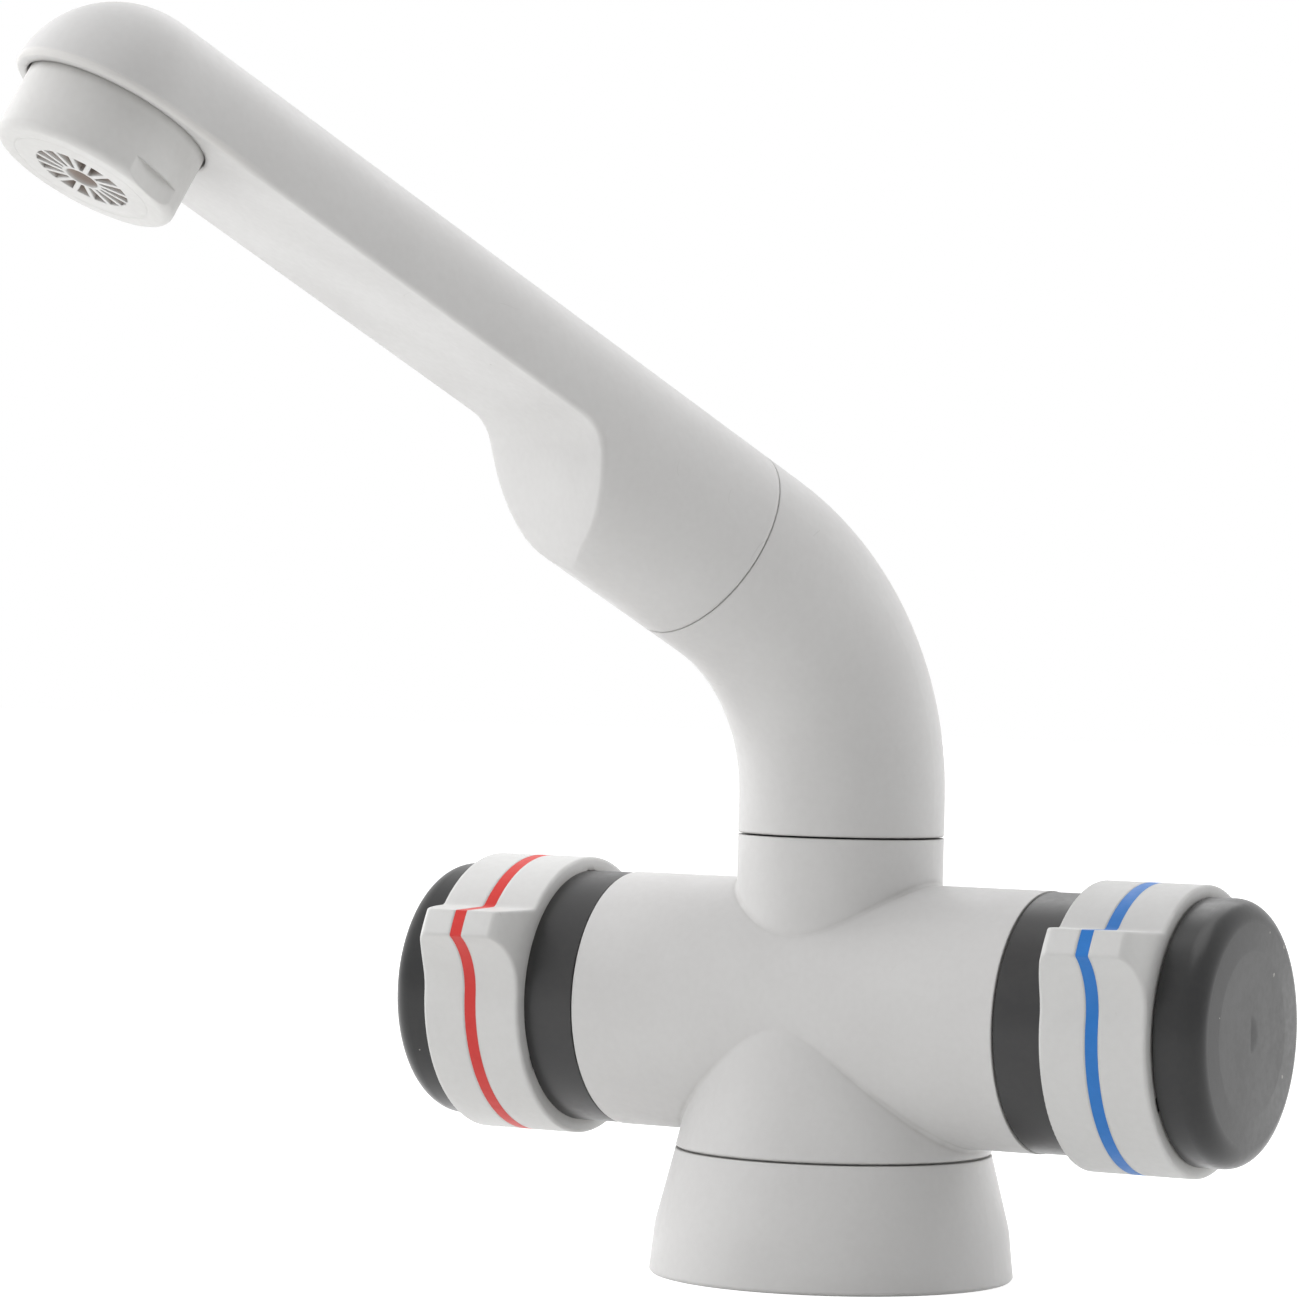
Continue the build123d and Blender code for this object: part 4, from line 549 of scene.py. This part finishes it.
def outlet_stain(tree, place):
    """The brownish film that hard water leaves in the face's hole and slots."""
    parts = outlet_place(tree, place)
    distance = distance_from_outlet_axis(tree, parts)
    inside = calculate(tree, "LESS_THAN", distance, OUTLET_BORE_RADIUS)
    behind_face = spread(
        tree,
        parts["Z"],
        low=OUTLET_FACE_HEIGHT + OUTLET_FILM_START,
        high=OUTLET_FACE_HEIGHT + OUTLET_FILM_FULL,
    )
    return calculate(tree, "MULTIPLY", inside, behind_face)


def on_head_rim(tree, parts):
    """One on the outside of the arm's head, fading out where the head goes over into the arm."""
    distance = distance_from_outlet_axis(tree, parts)
    outside = calculate(tree, "GREATER_THAN", distance, OUTLET_POCKET_RADIUS)
    near_tip = spread(tree, parts["X"], low=HEAD_RIM_START, high=HEAD_RIM_FULL)
    return calculate(tree, "MULTIPLY", outside, near_tip)


def painted_light_on_head_rim(tree, place):
    """Painted light: the head's lower rim below the mould's joint line, made paler for the light
    it catches from the bright floor below.
    """
    parts = outlet_place(tree, place)
    above_underside = spread(tree, parts["Z"], low=0.0, high=HEAD_RIM_LOWER_BLUR)
    below_line = spread(
        tree,
        parts["Z"],
        low=HEAD_RIM_HEIGHT + HEAD_RIM_BLUR,
        high=HEAD_RIM_HEIGHT - HEAD_RIM_BLUR,
    )
    band = calculate(tree, "MULTIPLY", above_underside, below_line)
    return calculate(tree, "MULTIPLY", band, on_head_rim(tree, parts))


def head_joint_line(tree, place):
    """The fine ridge of the mould's joint along the head's lower rim."""
    parts = outlet_place(tree, place)
    height_off_line = calculate(tree, "SUBTRACT", parts["Z"], HEAD_RIM_HEIGHT)
    off_line = calculate(tree, "ABSOLUTE", height_off_line)
    ridge = spread(tree, off_line, low=HEAD_JOINT_HALF_WIDTH, high=0.0)
    height = calculate(tree, "MULTIPLY", ridge, HEAD_JOINT_HEIGHT)
    return calculate(tree, "MULTIPLY", height, on_head_rim(tree, parts))


# The tap's own materials

# The dirt colour also paints the shade in crevices.
GREY_BODY = {
    "colour": (0.588, 0.584, 0.582, 1),
    "shaded_colour": (0.566, 0.561, 0.559, 1),
    "rubbed_colour": (0.66, 0.66, 0.65, 1),
    "dirt_and_shade_colour": (0.25, 0.24, 0.22, 1),
}
# On black plastics the painted crevice shade is held to a trace.
BLACK_WEAR = {
    "rubbed_colour": (0.10, 0.10, 0.10, 1),
    "dirt_and_shade_colour": (0.30, 0.29, 0.27, 1),
    "speck_strength": 0.8,
    "scuff_share": 0.05,
    "crevice_shade_limit": 0.03,
}
BRASS = {
    "colour": (0.76, 0.56, 0.27, 1),
    "tarnished_colour": (0.52, 0.36, 0.17, 1),
    "bright_colour": (0.88, 0.70, 0.38, 1),
    "smoothest": 0.22,
    "roughest": 0.42,
}
STEEL = {
    "colour": (0.60, 0.60, 0.61, 1),
    "tarnished_colour": (0.45, 0.45, 0.45, 1),
    "bright_colour": (0.78, 0.78, 0.78, 1),
    "smoothest": 0.20,
    "roughest": 0.38,
}

body_plastic = moulded_plastic("grey_body_plastic", **GREY_BODY)
arm_plastic = moulded_plastic(
    "grey_arm_plastic",
    edge_width=0.9 * MM,
    # Painted light: the head's lower rim, facing down to the bright floor, is painted paler.
    stain_and_painted_light=painted_light_on_head_rim,
    stain_and_painted_light_colour=(0.657, 0.647, 0.637, 1),
    relief=head_joint_line,
    **GREY_BODY,
)
ring_plastic = moulded_plastic(
    "pale_ring_plastic",
    colour=(0.595, 0.594, 0.590, 1),
    shaded_colour=(0.572, 0.570, 0.566, 1),
    rubbed_colour=(0.67, 0.67, 0.66, 1),
    dirt_and_shade_colour=(0.28, 0.27, 0.25, 1),
    edge_width=0.9 * MM,
)
outlet_plastic = moulded_plastic(
    "pale_outlet_plastic",
    colour=(0.620, 0.616, 0.610, 1),
    shaded_colour=(0.594, 0.589, 0.582, 1),
    rubbed_colour=(0.68, 0.68, 0.67, 1),
    dirt_and_shade_colour=(0.28, 0.27, 0.25, 1),
    stain_and_painted_light=outlet_stain,
    stain_and_painted_light_colour=(0.50, 0.42, 0.38, 1),
    relief=outlet_relief,
)
knob_plastic = moulded_plastic(
    "black_knob_plastic",
    colour=(0.024, 0.024, 0.025, 1),
    shaded_colour=(0.030, 0.029, 0.029, 1),
    gloss=0.38,
    polish=0.1,
    speck_share=0.12,
    smoothest=0.30,
    roughest=0.42,
    **BLACK_WEAR,
)
cap_plastic = moulded_plastic(
    "black_cap_plastic",
    colour=(0.015, 0.015, 0.016, 1),
    shaded_colour=(0.019, 0.019, 0.019, 1),
    gloss=0.25,
    polish=0.28,
    speck_share=0.12,
    smoothest=0.28,
    roughest=0.40,
    edge_width=0.12 * MM,
    relief=cap_relief,
    **BLACK_WEAR,
)
inner_plastic = moulded_plastic(
    "black_inner_plastic",
    colour=(0.030, 0.030, 0.032, 1),
    shaded_colour=(0.040, 0.040, 0.041, 1),
    gloss=0.45,
    grain_depth=0.008,
    **BLACK_WEAR,
)
insert_plastic = moulded_plastic(
    "beige_insert_plastic",
    colour=(0.50, 0.45, 0.43, 1),
    shaded_colour=(0.46, 0.41, 0.39, 1),
    rubbed_colour=(0.56, 0.52, 0.50, 1),
    dirt_and_shade_colour=(0.24, 0.20, 0.18, 1),
)
red_plastic = moulded_plastic(
    "red_stripe_plastic",
    colour=(0.56, 0.029, 0.024, 1),
    shaded_colour=(0.51, 0.025, 0.021, 1),
    rubbed_colour=(0.66, 0.16, 0.14, 1),
    dirt_and_shade_colour=(0.22, 0.05, 0.04, 1),
    gloss=0.38,
    edge_width=0.15 * MM,
)
blue_plastic = moulded_plastic(
    "blue_stripe_plastic",
    colour=(0.015, 0.161, 0.51, 1),
    shaded_colour=(0.013, 0.147, 0.46, 1),
    rubbed_colour=(0.07, 0.23, 0.54, 1),
    dirt_and_shade_colour=(0.03, 0.07, 0.16, 1),
    gloss=0.38,
    edge_width=0.15 * MM,
)
seal_rubber = black_rubber()
disc_ceramic = lapped_ceramic()
lengthwise_brass = turned_metal("brass_turned_lengthwise", lengthwise=True, **BRASS)
upright_brass = turned_metal("brass_turned_upright", lengthwise=False, **BRASS)
lengthwise_steel = turned_metal("steel_turned_lengthwise", lengthwise=True, **STEEL)
upright_steel = turned_metal("steel_turned_upright", lengthwise=False, **STEEL)


def dress(material, *node_names):
    """Gives the tap's named nodes that material."""
    for node_name in node_names:
        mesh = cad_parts[node_name].data
        mesh.materials.clear()
        mesh.materials.append(material)


def on_both_sides(*pieces):
    """The names of those pieces on the hot side and on the cold side."""
    return [f"{side}_{piece}" for side in ("hot", "cold") for piece in pieces]


dress(body_plastic, "body_shell", "base_rosette", "spout_elbow")
dress(arm_plastic, "spout_arm")
dress(ring_plastic, *on_both_sides("grip_ring"))
dress(outlet_plastic, "aerator_housing")
dress(knob_plastic, *on_both_sides("knob_hub"))
dress(cap_plastic, *on_both_sides("end_cap"))
dress(inner_plastic, "spout_socket", "glide_washer", *on_both_sides("valve_housing"))
dress(insert_plastic, "aerator_insert")
dress(red_plastic, "hot_stripe")
dress(blue_plastic, "cold_stripe")
dress(seal_rubber, "base_seal", "spout_socket_seal", "swivel_seals", "arm_seal")
dress(seal_rubber, "aerator_washer", *on_both_sides("inlet_seal", "valve_seal"))
dress(disc_ceramic, *on_both_sides("fixed_disc", "turning_disc"))
dress(lengthwise_brass, "valve_block", *on_both_sides("spindle", "valve_nut"))
dress(upright_brass, "fixing_insert", *on_both_sides("inlet_tail"))
dress(lengthwise_steel, *on_both_sides("knob_screw"))
dress(upright_steel, "swivel_clip", "aerator_mesh")


# Studio: a pale floor, a white surround and seven soft lamps

def seen_or_mirrored(tree):
    """One for rays from the camera, and for those by way of gloss or glass."""
    path = add_node(tree, "LightPath").outputs
    mirrored = calculate(tree, "MAXIMUM", path["Is Glossy Ray"], path["Is Transmission Ray"])
    return calculate(tree, "MAXIMUM", path["Is Camera Ray"], mirrored)


def lay_floor():
    """A pale floor that shows white with the tap's soft shadow on it."""
    bpy.ops.mesh.primitive_plane_add(size=FLOOR_SIZE, location=(0, 0, 0))
    floor = bpy.context.object
    floor.name = "studio_floor"
    material = bpy.data.materials.new("pale_floor")
    material.use_nodes = True
    tree = material.node_tree
    tree.nodes.remove(tree.nodes["Principled BSDF"])
    output = tree.nodes["Material Output"]
    bounce = add_node(tree, "BsdfDiffuse", {"Color": FLOOR_COLOUR})
    place = add_node(tree, "TexCoord").outputs["Object"]
    distance = add_node(tree, "VectorMath", {0: place}, operation="LENGTH").outputs["Value"]
    brightness = spread(
        tree, distance, GLOW_RISE_DISTANCE, FLOOR_WHITE_DISTANCE, lowest=FLOOR_GLOW
    )
    glow = add_node(tree, "Emission", {"Color": WHITE, "Strength": brightness})
    shadow_catcher = add_node(tree, "BsdfDiffuse", {"Color": FLOOR_SEEN_COLOUR})
    seen = add_node(tree, "AddShader", {0: glow.outputs[0], 1: shadow_catcher.outputs[0]})
    chosen = add_node(
        tree,
        "MixShader",
        {0: seen_or_mirrored(tree), 1: bounce.outputs[0], 2: seen.outputs[0]},
    )
    tree.links.new(chosen.outputs[0], output.inputs["Surface"])
    floor.data.materials.append(material)


def set_surround():
    """An even soft light from all round, seen as plain white."""
    world = bpy.data.worlds.new("white_surround")
    world.use_nodes = True
    bpy.context.scene.world = world
    tree = world.node_tree
    tree.nodes.remove(tree.nodes["Background"])
    light = add_node(
        tree, "Background", {"Color": SURROUND_COLOUR, "Strength": SURROUND_STRENGTH}
    )
    backdrop = add_node(tree, "Background", {"Color": WHITE, "Strength": 1.0})
    chosen = add_node(
        tree,
        "MixShader",
        {0: seen_or_mirrored(tree), 1: light.outputs[0], 2: backdrop.outputs[0]},
    )
    tree.links.new(chosen.outputs[0], tree.nodes["World Output"].inputs["Surface"])


def hang_lamp(name, place, width, height, power, mirrored=False):
    """A soft lamp aimed at the tap, whose gloss shows it only if it is to be mirrored."""
    lamp_data = bpy.data.lights.new(name, "AREA")
    lamp_data.shape = "RECTANGLE"
    lamp_data.size = width
    lamp_data.size_y = height
    lamp_data.energy = power
    lamp = bpy.data.objects.new(name, lamp_data)
    bpy.context.scene.collection.objects.link(lamp)
    lamp.location = place
    lamp.rotation_euler = (LAMP_AIM - Vector(place)).to_track_quat("-Z", "Y").to_euler()
    lamp.visible_camera = False
    lamp.visible_glossy = mirrored


def place_camera():
    """The photograph's camera."""
    camera_data = bpy.data.cameras.new("photo_camera")
    camera_data.sensor_width = SENSOR_WIDTH
    camera_data.lens = FOCAL_LENGTH_PIXELS / PHOTO_WIDTH * SENSOR_WIDTH
    camera = bpy.data.objects.new("photo_camera", camera_data)
    bpy.context.scene.collection.objects.link(camera)
    turn = (
        Matrix.Rotation(CAMERA_YAW, 4, "Z")
        @ Matrix.Rotation(LEVEL - CAMERA_PITCH, 4, "X")
        @ Matrix.Rotation(CAMERA_ROLL, 4, "Z")
    )
    camera.matrix_world = Matrix.Translation(CAMERA_PLACE) @ turn
    bpy.context.scene.camera = camera


place_camera()
lay_floor()
set_surround()
hang_lamp("left_softbox", (-1.3, 0.1, 0.6), width=0.8, height=0.8, power=13.8)
hang_lamp("high_left_softbox", (-0.7, -0.8, 1.1), width=0.9, height=0.9, power=7.4)
hang_lamp("front_left_softbox", (-1.1, -1.0, 0.5), width=0.9, height=0.7, power=3.0)
hang_lamp("top_softbox", (0.1, -0.1, 1.4), width=1.0, height=1.0, power=5.8, mirrored=True)
hang_lamp("back_softbox", (-0.2, 0.9, 1.1), width=0.9, height=0.9, power=4.1, mirrored=True)
hang_lamp("back_right_softbox", (0.9, 0.9, 0.4), width=0.8, height=0.8, power=7.0)
hang_lamp("back_low_softbox", (0.3, 1.25, 0.4), width=0.8, height=0.8, power=2.5)
bpy.context.scene.view_settings.view_transform = "Standard"
